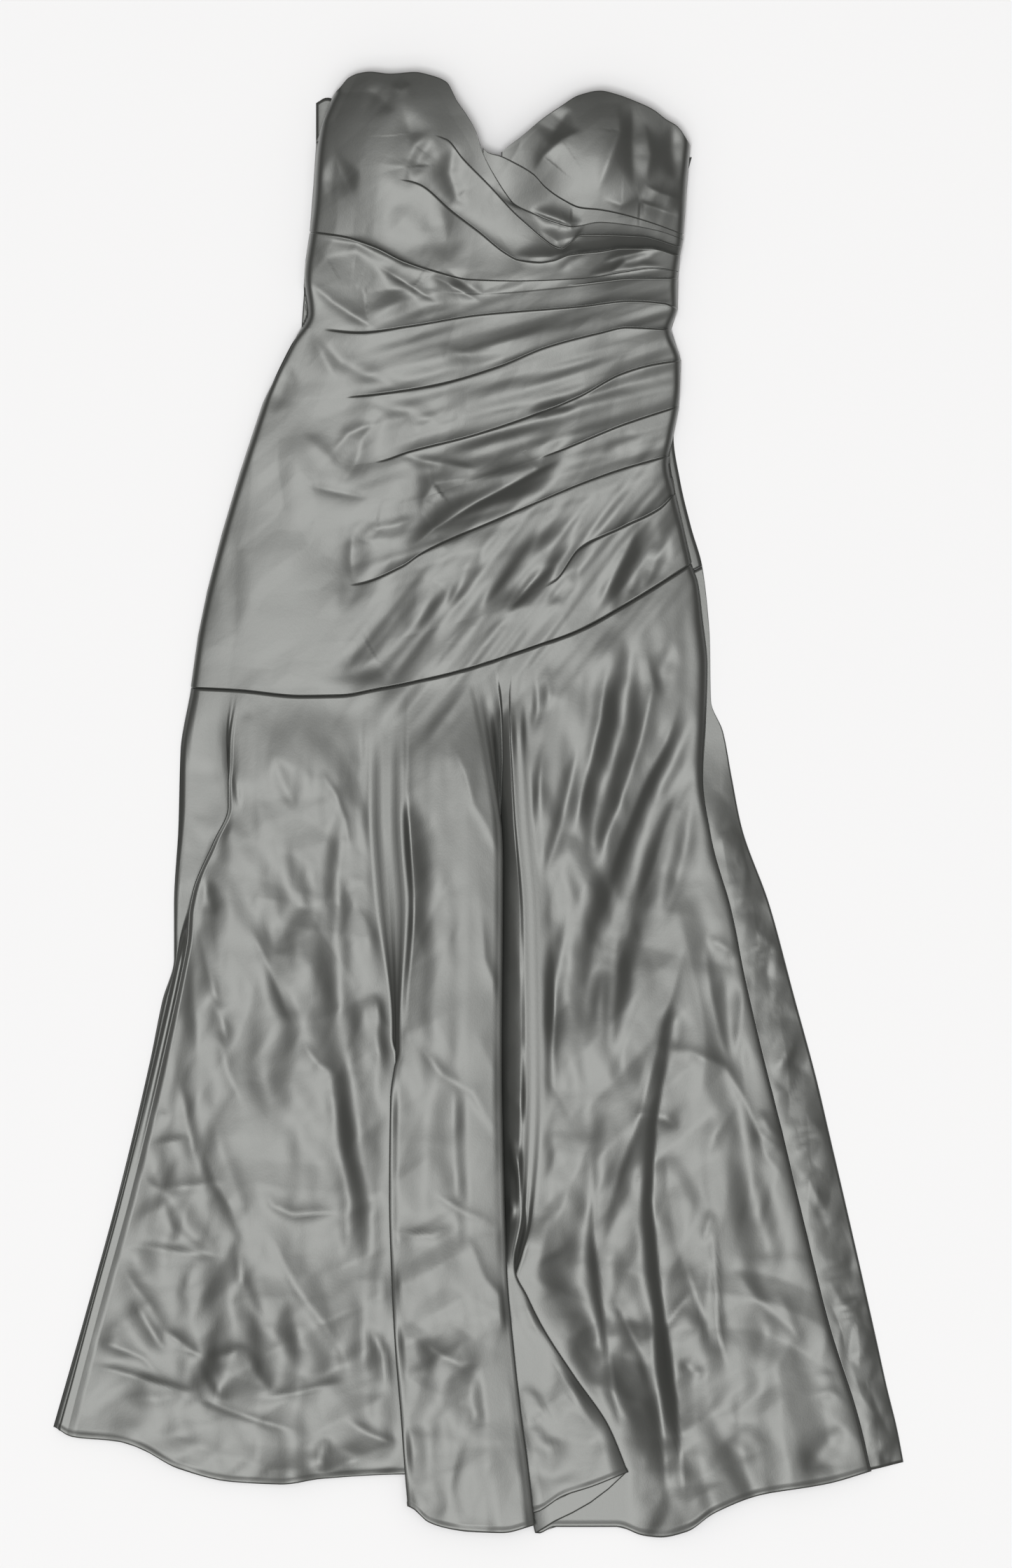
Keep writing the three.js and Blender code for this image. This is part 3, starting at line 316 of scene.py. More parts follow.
SKIRT_CREASES = [
    (-5, 17, 19, 1.8, (-190, 24), (-178, -40), (-168, -92), (-190, -134), (-184, -193), (-194, -250),
        (-186, -340)),
    (-5.5, 14, 14, 1.8, (-140, 36), (-122, -10), (-130, -60), (-130, -150), (-120, -243), (-106, -330),
        (-99, -385), (-104, -470)),
    (3.2, 11, 9, 1.6, (-137, -225), (-126, -300), (-117, -360), (-120, -430)),
    (-4.5, 13, 15, 1.8, (-94, 32), (-66, -20), (-60, -80), (-68, -130), (-70, -180)),
    (-3.4, 20, 20, 2, (-300, -330), (-260, -410), (-250, -500), (-290, -560)),
    (-5, 22, 22, 2, (-210, -400), (-190, -480), (-170, -560)),
    (-8, 14, 14, 2, (138, 166), (134, 126), (129, 74), (115, 20), (100, -60)),
    (-9, 14, 14, 2, (202, 95), (185, 60), (164, 18), (146, -23), (129, -71), (108, -130), (96, -220)),
    (-8, 13, 13, 2, (204, 46), (174, -2), (157, -44), (140, -89), (124, -150), (118, -240)),
    (4, 15, 15, 1.8, (120, -260), (110, -340), (100, -420), (120, -520)),
    (-8, 34, 7, 1.25, (180, -180), (162, -290), (158, -360), (164, -430), (180, -540), (190, -664)),
    (3.4, 12, 12, 1.7, (152, -300), (148, -380), (160, -480), (166, -600)),
    (-3.4, 16, 16, 1.8, (236, -260), (250, -380), (262, -480), (250, -600)),
    (-2, 18, 18, 2, (-12, -180), (-24, -300), (-10, -420), (-20, -560)),
    # Below the hip seam, left
    (-2.6, 6, 8, 1.4, (-222, 100), (-212, 88), (-204, 78)),
    (-2.2, 4, 7, 1.4, (-200, 99), (-192, 92), (-186, 90)),
    (1.4, 3, 5, 1.2, (-228, 46), (-222, 20), (-217, -6)),
    (-1.6, 12, 12, 2, (-168, 94), (-112, 88), (-62, 78)),
    (1.8, 5, 12, 1.2, (-146, 34), (-130, 10), (-121, -14), (-117, -42)),
    (1.6, 5, 10, 1.3, (-98, 36), (-80, 16), (-62, -6)),
    (2, 6, 10, 1.3, (-94, 4), (-84, -40), (-74, -90), (-72, -110)),
    (1.8, 10, 5, 1.2, (-28, 62), (-12, 30), (-4, 0), (6, -16), (16, -38), (20, -62)),
    (-1.6, 8, 8, 1.7, (-186, 44), (-178, 20), (-166, -6)),
    (-2.2, 8, 8, 1.5, (-252, -62), (-246, -84), (-240, -104)),
    (1.5, 6, 8, 1.3, (-262, -8), (-248, -22), (-238, -30)),
    # Left part, upper
    (3.4, 26, 9, 1.2, (-210, -108), (-195, -136), (-184, -164), (-176, -184), (-166, -204)),
    (1.6, 6, 8, 1.2, (-162, -214), (-146, -236), (-128, -246)),
    (2.4, 9, 6, 1.2, (-196, -350), (-186, -366), (-168, -373), (-140, -371), (-122, -373)),
    (3.6, 34, 10, 1.1, (-196, -380), (-182, -406), (-166, -440), (-150, -460), (-134, -482), (-121, -506),
        (-116, -532)),
    (1.6, 8, 10, 1.3, (-268, -98), (-262, -150), (-257, -200), (-254, -244)),
    (1.9, 12, 7, 1.2, (-256, -108), (-246, -150), (-236, -186), (-222, -206)),
    (-2.2, 7, 9, 1.4, (-246, -170), (-234, -192), (-228, -222)),
    (1.5, 7, 9, 1.3, (-240, -200), (-228, -244), (-214, -276)),
    (-2.8, 7, 8, 1.4, (-272, -250), (-264, -292), (-257, -332)),
    (2.2, 12, 18, 1.5, (-252, -254), (-236, -312), (-216, -362), (-210, -412)),
    (1.8, 6, 5, 1.2, (-312, -288), (-296, -284), (-278, -282)),
    (2, 5, 9, 1.2, (-312, -314), (-286, -308), (-260, -303)),
    (3, 9, 22, 1.1, (-320, -318), (-302, -344), (-290, -351), (-258, -347), (-224, -342)),
    (2.8, 10, 24, 1.2, (-292, -350), (-282, -378), (-274, -402)),
    (2.2, 7, 10, 1.2, (-342, -402), (-302, -403), (-262, -409), (-226, -410)),
    (1.8, 8, 8, 1.3, (-280, -384), (-258, -402), (-238, -412)),
    (2.4, 12, 8, 1.2, (-252, -312), (-240, -344), (-226, -366), (-214, -402)),
    # Left part, lower
    (2, 9, 7, 1.2, (-328, -414), (-314, -438), (-298, -458), (-286, -480)),
    (3.2, 7, 12, 1.1, (-316, -446), (-302, -472), (-284, -502)),
    (3.2, 14, 8, 1.1, (-362, -482), (-336, -492), (-306, -503), (-288, -524)),
    (3, 6, 16, 1.1, (-372, -508), (-332, -515), (-300, -525), (-280, -530), (-256, -536)),
    (3, 9, 8, 1.1, (-288, -476), (-268, -492), (-248, -506)),
    (2.6, 8, 14, 1.1, (-250, -506), (-228, -500), (-208, -493)),
    (2.2, 8, 7, 1.2, (-250, -508), (-240, -526), (-228, -546)),
    (2.2, 8, 7, 1.2, (-212, -494), (-202, -518), (-188, -538)),
    (2.2, 7, 9, 1.2, (-204, -542), (-162, -535), (-118, -524)),
    (2.8, 8, 12, 1.1, (-260, -510), (-248, -542), (-226, -552), (-200, -561), (-160, -572)),
    (2.2, 8, 6, 1.3, (-220, -396), (-216, -430), (-204, -458), (-194, -470)),
    (-1.6, 18, 18, 2, (-330, -556), (-290, -562), (-250, -576)),
    (-2.2, 12, 14, 1.8, (-210, -470), (-178, -490), (-156, -530)),
    (1.5, 8, 8, 1.4, (-330, -540), (-290, -541), (-252, -532)),
    (3.2, 12, 8, 1.2, (-138, -574), (-144, -596), (-140, -612)),
    (3.2, 7, 16, 1.1, (-122, -558), (-100, -573), (-68, -586)),
    (-2.6, 14, 12, 1.6, (-108, -430), (-104, -500), (-98, -570)),
    (-2.2, 14, 14, 1.8, (-134, -588), (-98, -600), (-68, -604)),
    (2.4, 6, 8, 1.3, (-104, -470), (-86, -500), (-80, -540)),
    # Flute
    (1.8, 6, 5, 1.2, (-96, -170), (-88, -195), (-77, -209)),
    (2, 8, 8, 1.2, (-62, -210), (-32, -246), (-6, -262), (6, -282), (20, -302)),
    (1.9, 8, 6, 1.2, (-44, -352), (-14, -370), (8, -380), (22, -386)),
    (1.5, 6, 6, 1.2, (-82, -390), (-42, -392), (-20, -383)),
    (2.8, 9, 22, 1.1, (-20, -382), (-6, -402), (6, -432), (20, -446), (22, -472), (12, -502)),
    (2.4, 14, 10, 1.2, (-64, -478), (-42, -496), (-16, -509), (26, -505)),
    (-3.2, 14, 12, 1.9, (-62, -470), (-54, -500), (-40, -520)),
    (-2.6, 12, 12, 2, (-40, -540), (-34, -590), (-30, -640)),
    (-2, 16, 16, 1.8, (-58, -560), (-52, -610), (-40, -642)),
    (-1.6, 10, 10, 2, (4, -545), (14, -566)),
    (-1, 14, 14, 2, (-30, -240), (-26, -270), (-24, -320)),
    (1.8, 6, 8, 1.2, (2, -90), (6, -140), (14, -160), (19, -190)),
    # Recess and flap
    (6, 5, 5, 1.4, (29, -300), (36, -330), (40, -350), (42, -380)),
    (5, 4, 4, 1.4, (27, -352), (31, -368), (27, -384)),
    (1.8, 4, 5, 1.2, (32, 92), (36, 50), (46, 0)),
    (-2, 8, 8, 1.6, (44, -548), (60, -566), (76, -586)),
    (1.8, 5, 8, 1.2, (40, -520), (62, -556), (78, -590)),
    (1.8, 6, 6, 1.2, (36, -470), (48, -500), (52, -530)),
    (-2.6, 14, 10, 1.5, (34, -440), (52, -520), (80, -600)),
    (1.6, 5, 7, 1.3, (42, -436), (66, -500), (112, -580)),
    (-2, 10, 10, 1.7, (36, -600), (64, -612), (96, -604)),
    # Right part, upper
    (2.6, 7, 10, 1.3, (60, 134), (64, 100), (60, 84)),
    (2, 6, 7, 1.3, (42, 130), (45, 104), (52, 76)),
    (-2.6, 6, 6, 1.5, (50, 128), (54, 100), (48, 60)),
    (3, 9, 10, 1.4, (60, 60), (54, 10), (40, -40)),
    (-3, 8, 7, 1.6, (92, 60), (84, 20), (72, -30), (58, -70)),
    (3.2, 9, 8, 1.3, (118, 130), (112, 80), (100, 30), (86, -30)),
    (3.2, 8, 10, 1.3, (150, 150), (160, 110), (148, 60), (128, 0), (108, -50)),
    (3.4, 8, 8, 1.3, (186, 100), (172, 58), (150, 14), (130, -36), (116, -80)),
    (-2.2, 8, 8, 1.8, (178, 150), (166, 120), (170, 96)),
    (-3, 9, 9, 1.7, (196, 20), (190, -30), (180, -70), (168, -110)),
    (3, 8, 9, 1.3, (188, 26), (170, -20), (156, -64), (142, -100)),
    (-3, 9, 9, 1.6, (84, -90), (70, -160), (66, -240)),
    (4, 8, 7, 1.5, (58, -150), (54, -220), (52, -300), (46, -380)),
    (-3.4, 9, 9, 1.6, (70, -140), (62, -250), (52, -340)),
    # Right part, middle
    (4.4, 10, 36, 1.1, (190, -118), (180, -160), (168, -200), (158, -242), (145, -290), (130, -330),
        (118, -372), (110, -408)),
    (-2, 10, 10, 1.8, (180, -180), (170, -230)),
    (2.2, 7, 7, 1.2, (206, -120), (222, -128), (238, -138)),
    (2.6, 12, 8, 1.2, (206, -120), (212, -170), (222, -214), (230, -240)),
    (-2.4, 10, 10, 1.7, (224, -150), (228, -190), (230, -226)),
    (2.2, 8, 8, 1.2, (240, -140), (242, -170), (234, -238)),
    (2.6, 8, 8, 1.2, (158, -222), (194, -225), (226, -240), (240, -264), (252, -290), (262, -320),
        (274, -334), (281, -352)),
    (1.8, 9, 7, 1.3, (206, -330), (216, -300), (232, -275), (242, -258)),
    (3.2, 10, 9, 1.2, (140, -281), (170, -285), (184, -296)),
    (1.9, 4, 5, 1.1, (212, -366), (216, -420), (219, -480), (228, -522)),
    (1.4, 5, 5, 1.2, (204, -402), (210, -380), (212, -366)),
    (-2.6, 12, 12, 1.9, (262, -340), (258, -376), (268, -410), (278, -440)),
    (2, 8, 6, 1.2, (250, -292), (264, -306), (280, -318)),
    (2.2, 7, 8, 1.2, (254, -276), (266, -296), (278, -306)),
    # Right part, lower
    (3.6, 20, 8, 1.1, (118, -440), (136, -474), (149, -500), (160, -545)),
    (-5.4, 26, 7, 1.3, (104, -300), (106, -400), (116, -480), (128, -560), (136, -650)),
    (4, 8, 9, 1.4, (160, -430), (160, -480), (166, -540), (170, -600), (174, -650)),
    (2.4, 7, 8, 1.2, (196, -440), (180, -462), (164, -484)),
    (2, 8, 7, 1.2, (182, -504), (196, -516), (210, -520)),
    (2.4, 8, 8, 1.2, (182, -400), (192, -430), (206, -470), (214, -496)),
    (2, 9, 9, 1.3, (232, -420), (256, -452), (284, -476), (300, -500)),
    (1.8, 9, 9, 1.4, (270, -438), (284, -466), (298, -498)),
    (-3, 12, 12, 1.8, (336, -566), (316, -584), (296, -610)),
    (-1.6, 14, 14, 2, (250, -560), (230, -600)),
    (1.4, 6, 6, 1.3, (300, -540), (322, -534), (340, -550)),
    (1.6, 7, 7, 1.3, (300, -520), (330, -520), (342, -548)),
]
BACK_CREASES = [
    (0.5, 6, 6, 1.3, (236, -20), (244, -60), (238, -100)),
    (0.5, 5, 6, 1.3, (262, -90), (252, -150), (250, -200)),
    (-0.5, 6, 6, 1.5, (268, -120), (264, -150), (266, -180)),
    (0.5, 5, 5, 1.3, (292, -200), (282, -232), (264, -262)),
    (-0.6, 6, 6, 1.4, (276, -230), (292, -238), (300, -246)),
    (0.5, 6, 6, 1.3, (282, -320), (300, -340), (318, -372)),
    (-0.5, 7, 7, 1.5, (292, -352), (306, -362), (320, -390)),
    (0.5, 5, 6, 1.3, (282, -384), (300, -392), (306, -410)),
    (-0.7, 7, 7, 1.4, (330, -380), (340, -404), (342, -440)),
    (0.5, 6, 6, 1.3, (318, -430), (330, -452), (350, -470)),
    (-0.6, 6, 6, 1.4, (352, -452), (350, -470), (362, -486)),
    (0.5, 6, 6, 1.3, (336, -500), (350, -540), (366, -560)),
    (-0.6, 6, 6, 1.4, (356, -530), (366, -556), (378, -578)),
    (-0.5, 5, 5, 1.4, (362, -590), (374, -600)),
    (0.5, 6, 6, 1.3, (-142, 640), (-140, 620), (-146, 600)),
    (-0.5, 20, 26, 2, (-220, -80), (-180, -300), (-240, -520)),
    (-0.5, 24, 20, 2, (-40, 40), (-60, -240), (-30, -560)),
    (-0.5, 22, 22, 2, (120, 100), (140, -180), (110, -600)),
    (0.4, 8, 8, 1.3, (-330, -420), (-240, -450), (-160, -430)),
    (0.4, 8, 8, 1.3, (-120, -120), (20, -160), (160, -120)),
    (0.4, 8, 8, 1.3, (60, -380), (160, -420), (240, -360)),
]
# Zigzags of crisp creases: direction, period and height
ZIGZAGS = table("turn period height", [0.25, 84, 1.9], [1.25, 66, 1.5], [2.1, 94, 2.1], [2.75, 52, 1.1])

# Panels of the front skirt from left to right: name, columns, crown, the fold where each ends, which of the
# two neighbours lies over there, and its hem
PANELS = (
    ("side", 8, 0, "hip", "next", "left"),
    ("left", 84, 3, "left", "next", "left"),
    ("flute", 46, 2, "right", "this", "flute"),
    ("recess", 26, 0, "flap", "this", "flap"),
    ("right", 100, 0, None, None, "right"),
)
# Panels that a neighbour hides: the line of the edge that hides them, the side of it on which they show, 1
# to the right, how far under it their creases start, and the length that those take to grow
SHOWN = {"left": ("left", -1, 2, 18), "flute": ("right", -1, 0, 6), "recess": ("right", 1, 2, 6)}
# Where each fold starts to lie over, and the spacing of its points far above that
RAMP_WIDTHS = {"hip": (40, 2.5), "left": (-200, 6.0), "right": (-10, 4.5), "flap": (-420, 3.0)}


def mix(a, b, t):
    return a + (b - a) * t


def ease(t):
    """Smoothstep: t squared times (3 - 2 t), with t kept between 0 and 1."""
    t = np.clip(t, 0, 1)
    return t * t * (3 - 2 * t)


def curve(rows, start, end):
    """A smooth line through a table's rows: cubic pieces whose slope at a row is the harmonic mean of its
    two neighbouring slopes, or 0 where they differ in sign, so that it never overshoots."""
    order = np.argsort(rows[start])
    at, value = rows[start][order], rows[end][order]
    gap = np.diff(at)
    steep = np.diff(value) / gap
    product, total = steep[:-1] * steep[1:], steep[:-1] + steep[1:]
    inner = np.where(product > 0, 2 * product / np.where(product > 0, total, 1), 0)
    slope = np.concatenate([steep[:1], inner, steep[-1:]])

    def smooth(wanted):
        a = np.clip(wanted, at[0], at[-1])
        i = np.clip(np.searchsorted(at, a, side="right") - 1, 0, len(gap) - 1)
        t = (a - at[i]) / gap[i]
        cubic = slope[i] * (1 - t) - slope[i + 1] * t
        return mix(value[i], value[i + 1], ease(t)) + gap[i] * t * (1 - t) * cubic

    return smooth


def line_of(rows):
    return curve(rows, "x", "y")


left_edge = curve(LEFT_EDGE, "y", "x")
right_edge = curve(RIGHT_EDGE, "y", "x")
hip_seam = line_of(HIP_SEAM)
underbust = line_of(UNDERBUST)
loft = curve(LOFT, "y", "height")


def crease(x, y, height, left, right, edge, *line):
    """One crease: its height times e to minus (distance from the line / width) to the power edge. The width
    is left or right by the side of the line that a point is on. Both grow over the first two fifths of the
    line and fade over the last, so that a crease is pointed."""
    points = np.array(line, float)
    reach = CREASE_REACH * max(left, right)
    low, high = points.min(0) - reach, points.max(0) + reach
    near = (x > low[0]) & (x < high[0]) & (y > low[1]) & (y < high[1])
    result = np.zeros_like(x)
    px, py = x[near], y[near]
    steps = np.diff(points, axis=0)
    lengths = np.hypot(steps[:, 0], steps[:, 1])
    total = lengths.sum()
    nearest = np.full_like(px, np.inf)
    along = np.zeros_like(px)
    side = np.ones_like(px)
    before = 0.0
    for start, step, length in zip(points, steps, lengths):
        dx, dy = px - start[0], py - start[1]
        t = np.clip((dx * step[0] + dy * step[1]) / length**2, 0, 1)
        away = np.hypot(dx - step[0] * t, dy - step[1] * t)
        closer = away < nearest
        nearest = np.where(closer, away, nearest)
        along = np.where(closer, (before + t * length) / total, along)
        side = np.where(closer, step[0] * dy - step[1] * dx, side)
        before += length
    taper = ease(CREASE_TAPER * along) * ease(CREASE_TAPER * (1 - along))
    width = np.where(side > 0, left, right) * mix(CREASE_TIP, 1, taper)
    rounded = np.sqrt(nearest**2 + CREASE_ROUND**2) - CREASE_ROUND
    result[near] = height * np.exp(-((rounded / width) ** edge)) * taper
    return result


def creases(x, y, rows, share=1.0):
    """The creases of a table together, with the given share of their heights."""
    return share * sum(crease(x, y, *row) for row in rows)


def lattice_cell(u, v, seed):
    """The random values at the four corners of the lattice's cell that holds (u, v), and the place in
    it."""
    lattice = np.random.default_rng(seed).uniform(-1, 1, (LATTICE, LATTICE))
    i, j = np.floor(u).astype(int), np.floor(v).astype(int)
    near, right = lattice[i % LATTICE, j % LATTICE], lattice[(i + 1) % LATTICE, j % LATTICE]
    above, far = lattice[i % LATTICE, (j + 1) % LATTICE], lattice[(i + 1) % LATTICE, (j + 1) % LATTICE]
    return near, right, above, far, u - i, v - j


def unevenness(x, y, size, seed):
    """Smooth random heights between -1 and 1: random values on a square lattice, joined with smoothstep."""
    near, right, above, far, tu, tv = lattice_cell(x / size + 31.7, y / size + 31.3, seed)
    tu, tv = ease(tu), ease(tv)
    return mix(mix(near, right, tu), mix(above, far, tu), tv)


def facets(x, y, size, seed):
    """Flat facets with straight creases between them: random heights at the corners of a lattice of
    triangles, joined with planes. The lattice is turned and bent a little so that no two facets are
    alike."""
    turn = 0.5 + seed
    bent_x = x + 0.45 * size * unevenness(x, y, 2.3 * size, seed + 1)
    bent_y = y + 0.45 * size * unevenness(x, y, 2.3 * size, seed + 2)
    u = (bent_x * math.cos(turn) + bent_y * math.sin(turn)) / size + 30
    v = (bent_y * math.cos(turn) - bent_x * math.sin(turn)) / size + 30
    near, right, above, far, fu, fv = lattice_cell(u, v, seed)
    lower = near + fu * (right - near) + fv * (above - near)
    upper = far + (1 - fu) * (above - far) + (1 - fv) * (right - far)
    return np.where(fu + fv < 1, lower, upper)


def zigzags(x, y):
    """Crisp straight creases between flat facets: for each of ZIGZAGS a triangle wave of heights across its
    own direction, bent a little and shown in patches."""
    total = 0
    for number, (turn, period, height) in enumerate(zip(*ZIGZAGS.values())):
        straight = x * math.cos(turn) + y * math.sin(turn)
        phase = (straight + 0.35 * period * unevenness(x, y, 1.7 * period, 81 + number)) / period
        patch = ease(2.4 * unevenness(x, y, 1.3 * period, 91 + number) + 0.1)
        total = total + height * patch * (2 * np.abs(phase - np.floor(phase + 0.5)) - 0.5)
    return total


def streaks(along, across, long, wide, seed):
    """Long soft folds side by side: random heights on a lattice that is drawn out along one direction."""
    bent = across + 0.35 * wide * unevenness(along, across, 1.6 * long, seed + 7)
    return unevenness(along * wide / long, bent, wide, seed)


def body_rumple(x, y):
    """Small unevenness of the bodice and hips: soft waves, a few facets, and streaks that run up to the
    right into the side seam, steeper ones low on the hips."""
    soft = 0.9 * unevenness(x, y, 48, 3) + 0.5 * facets(x, y, 40, 11) + 0.2 * facets(x, y, 18, 23)
    flat = streaks(x, y - 0.22 * x, 120, 15, 31) + 0.4 * streaks(x, y - 0.3 * x, 70, 8, 37)
    steep = streaks(0.6 * x + 0.8 * y, 0.6 * y - 0.8 * x, 110, 15, 41)
    steep = steep + 0.4 * streaks(y, y - 1.3 * x, 60, 11, 43)
    low = ease((300 - y + 0.5 * x) / 130)
    here = ease((x + 150) / 120) * ease((500 - y) / 40)
    return soft + here * mix(1.1 * flat, 1.25 * steep, low)


def skirt_rumple(x, y):
    """Small unevenness of the skirt: soft waves, facets that grow towards the hem, and streaks that spread
    from the waist down, as wide as the skirt is there."""
    fan = 620 * (x - left_edge(y)) / (right_edge(y) - left_edge(y))
    long = 1.2 * streaks(y, fan, 260, 30, 51) + 0.35 * streaks(y, fan, 130, 14, 53)
    slant = 0.7 * streaks(0.5 * x - 0.85 * y, 0.85 * x + 0.5 * y, 120, 18, 57)
    low = ease((-200 - y) / 250)
    crisp = 1.5 * facets(x, 0.6 * y, 40, 61) + 0.65 * facets(0.8 * x, y, 21, 67)
    wide_low = mix(0.25, 1, ease((120 - y) / 420))
    return unevenness(x, y, 70, 3) + long + slant + mix(0.35, 0.9, low) * crisp + wide_low * zigzags(x, y)


def settle(height):
    """Keeps a height above 0 with a rounded bottom: the logarithm of 1 + e to the height."""
    return np.log1p(np.exp(np.minimum(height, LARGEST)))


def edge_rise(inside, y):
    """Share of its height that the front has at a distance inside its side seam: part of it at once, the
    rest, which is larger below the waist, over EDGE_EASE."""
    inside = np.maximum(0, inside)
    slow = mix(SLOW_BELOW, SLOW_ABOVE, ease((y - HIPS) / HIPS_REACH))
    return (1 - np.exp(-inside / ROLL)) * (1 - slow * np.exp(-inside / EDGE_EASE))


def body_height(x, y):
    """Height of the middle of the front's cloth over the bodice and hips. It is the loft at y, plus a bell
    for each cup, plus the creases, times a rise from both side seams."""
    in_left = edge_rise(x - left_edge(y), y)
    in_right = edge_rise(right_edge(y) - x, y)
    cups = 0
    for cup_x, cup_y, wide, tall, height in zip(*CUPS.values()):
        across, along = (x - cup_x) / wide, (y - cup_y) / tall
        cups = cups + height * np.exp(-(across**2) - along**2)
    cloth = loft(y) + cups + creases(x, y, BODY_CREASES, BODY_SHARE) + body_rumple(x, y)
    return BODY_SEAT + settle(cloth * in_left * in_right - BODY_DROP)


def grid_normals(points):
    """Unit normals of a grid of points, from the cross product of its two directions."""
    down, across = np.gradient(points, axis=0), np.gradient(points, axis=1)
    normals = np.cross(down, across)
    return normals / np.linalg.norm(normals, axis=2, keepdims=True)


def grid_faces(numbers):
    """Quads between neighbouring rows and columns of a grid of vertex numbers, seen anticlockwise from
    above where rows run down and columns run right."""
    corners = numbers[:-1, :-1], numbers[1:, :-1], numbers[1:, 1:], numbers[:-1, 1:]
    return np.stack(corners, axis=-1).reshape(-1, 4)


def shell(name, upper, lower, rows=None, columns=None):
    """A closed thin wall from an upper and a lower grid of points in millimetres. The lower layer keeps
    only the given rows and columns, and each rim face joins one of its edges to all the upper points above
    it."""
    rows = np.arange(upper.shape[0]) if rows is None else rows
    columns = np.arange(upper.shape[1]) if columns is None else columns
    top = np.arange(upper[..., 0].size).reshape(upper.shape[:2])
    low = top.size + np.arange(len(rows) * len(columns)).reshape(len(rows), len(columns))
    points = np.concatenate([upper.reshape(-1, 3), lower[np.ix_(rows, columns)].reshape(-1, 3)]) * MM
    faces = grid_faces(top).tolist() + grid_faces(low)[:, ::-1].tolist()
    soft = len(faces)
    rims = (
        (top[:, 0], low[:, 0], rows, 1),
        (top[-1], low[-1], columns, 1),
        (top[:, -1], low[:, -1], rows, -1),
        (top[0], low[0], columns, -1),
    )
    for above, below, kept, way in rims:
        for k in range(len(kept) - 1):
            face = [*above[kept[k]:kept[k + 1] + 1].tolist(), int(below[k + 1]), int(below[k])]
            faces.append(face[::-way])
    return mesh_object(name, points, faces, soft)


def mesh_object(name, points, faces, soft=0):
    """An object from points in metres. Its first faces, soft in number, are shaded smooth and the rest
    flat."""
    mesh = bpy.data.meshes.new(name)
    mesh.from_pydata(points.tolist(), [], faces)
    mesh.update()
    mesh.polygons.foreach_set("use_smooth", np.arange(len(mesh.polygons)) < soft)
    mesh.update()
    piece = bpy.data.objects.new(name, mesh)
    bpy.context.scene.collection.objects.link(piece)
    return piece


def kept(count, step, whole=()):
    """Every step-th number below count, the last one, and the stretches (start, end) that are kept
    whole."""
    numbers = set(range(0, count, step)) | {count - 1}
    for start, end in whole:
        numbers |= set(range(max(0, start), min(count, end)))
    return np.array(sorted(numbers))


def lowest_near(heights, reach):
    """The lowest height within reach rows and columns of each point."""
    result = heights
    for axis in (0, 1):
        width = [(reach, reach) if k == axis else (0, 0) for k in (0, 1)]
        padded = np.pad(result, width, mode="edge")
        windows = np.lib.stride_tricks.sliding_window_view(padded, 2 * reach + 1, axis=axis)
        result = windows.min(-1)
    return result


def band(name, lines, columns_of, counts, lift_of):
    """A band of the bodice. Its rows run evenly between neighbouring lines, and at each line in the middle
    the upper band ends and the lower one starts with the rounded edge of PLEAT_PROFILE, lifted by
    lift_of."""
    rows = []
    for k in range(len(lines) - 1):
        x_top, x_low = columns_of(k), columns_of(k + 1)
        top = lines[k](x_top) - (0 if k else GAP / 2)
        low = lines[k + 1](x_low) + (PLEAT_GAP if k < len(lines) - 2 else GAP / 2)
        edge = np.array(PLEAT_PROFILE if k else ((0.0, 1.0),))
        reach = top - low
        for distance, share in edge:
            t = np.minimum(distance / reach, 0.5)
            rows.append((mix(x_top, x_low, t), mix(top, low, t), lift_of(k, x_top) * share * (1 - t)))
        start = edge[-1, 0] / reach
        for r in range(1, counts[k] + 1):
            t = np.minimum(mix(start, 1, r / counts[k]), 1)
            near = np.exp(-((1 - t) * reach) / PLEAT_DIP_REACH)
            dip = PLEAT_DIP * near * lift_of(k + 1, x_low) / PLEAT_RISE
            rows.append((mix(x_top, x_low, t), mix(top, low, t), lift_of(k, x_top) * (1 - t) - dip))
    x, y, extra = (np.array(values) for values in zip(*rows))
    z = body_height(x, y)
    middle = np.stack([x, y, z], axis=2)
    normals = grid_normals(middle)
    normals[0] = normals[-1] = (0, 0, 1)
    upper = middle + normals * BODICE / 2 + np.stack([0 * x, 0 * x, extra], axis=2)
    lower = upper - normals * CLOTH
    lower[..., 2] = np.maximum(lowest_near(lower[..., 2], UNDER_STEP), FRONT_SEAT)
    under = kept(len(x), UNDER_STEP), kept(x.shape[1], UNDER_STEP)
    return shell(name, upper, lower, *under)


def pleat_lift(pleats):
    """Rise of each pleat's edge along it, with a slow unevenness of a sixth."""
    def lift(k, x):
        if k == 0 or k > len(pleats):
            return np.zeros_like(x)
        start = pleats[k - 1][0]
        return PLEAT_RISE * ease((x - start) / PLEAT_ONSET) * (1 + np.sin(x / PLEAT_WAVE + 2 * k) / 6)
    return lift


def even_columns(ends, count):
    """A function from a line's number to its evenly spaced columns, between that line's ends."""
    def columns_of(k):
        return np.linspace(*ends[k], count)
    return columns_of


def no_lift(k, x):
    return 0 * x


def make_bust_wrap():
    lines = [line_of(NECKLINE), *(line_of(line) for _, line in BUST_PLEATS), underbust]
    ends = ((-131, 186), (-147, 184.5), (-149.5, 183), (-153, 182))
    return band("bust_wrap_satin", lines, even_columns(ends, 250), (46, 46, 52), pleat_lift(BUST_PLEATS))


def make_centre_band():
    lines = [line_of(CENTRE_EDGE), line_of(NECKLINE)]
    return band("centre_band_satin", lines, even_columns([(4, 186)] * 2, 160), (26,), no_lift)


def make_right_cup():
    lines = [line_of(RIGHT_NECKLINE), line_of(CENTRE_EDGE)]
    ends = ((21, 192.5), (21, 186))
    return band("right_cup_satin", lines, even_columns(ends, 150), (90,), no_lift)


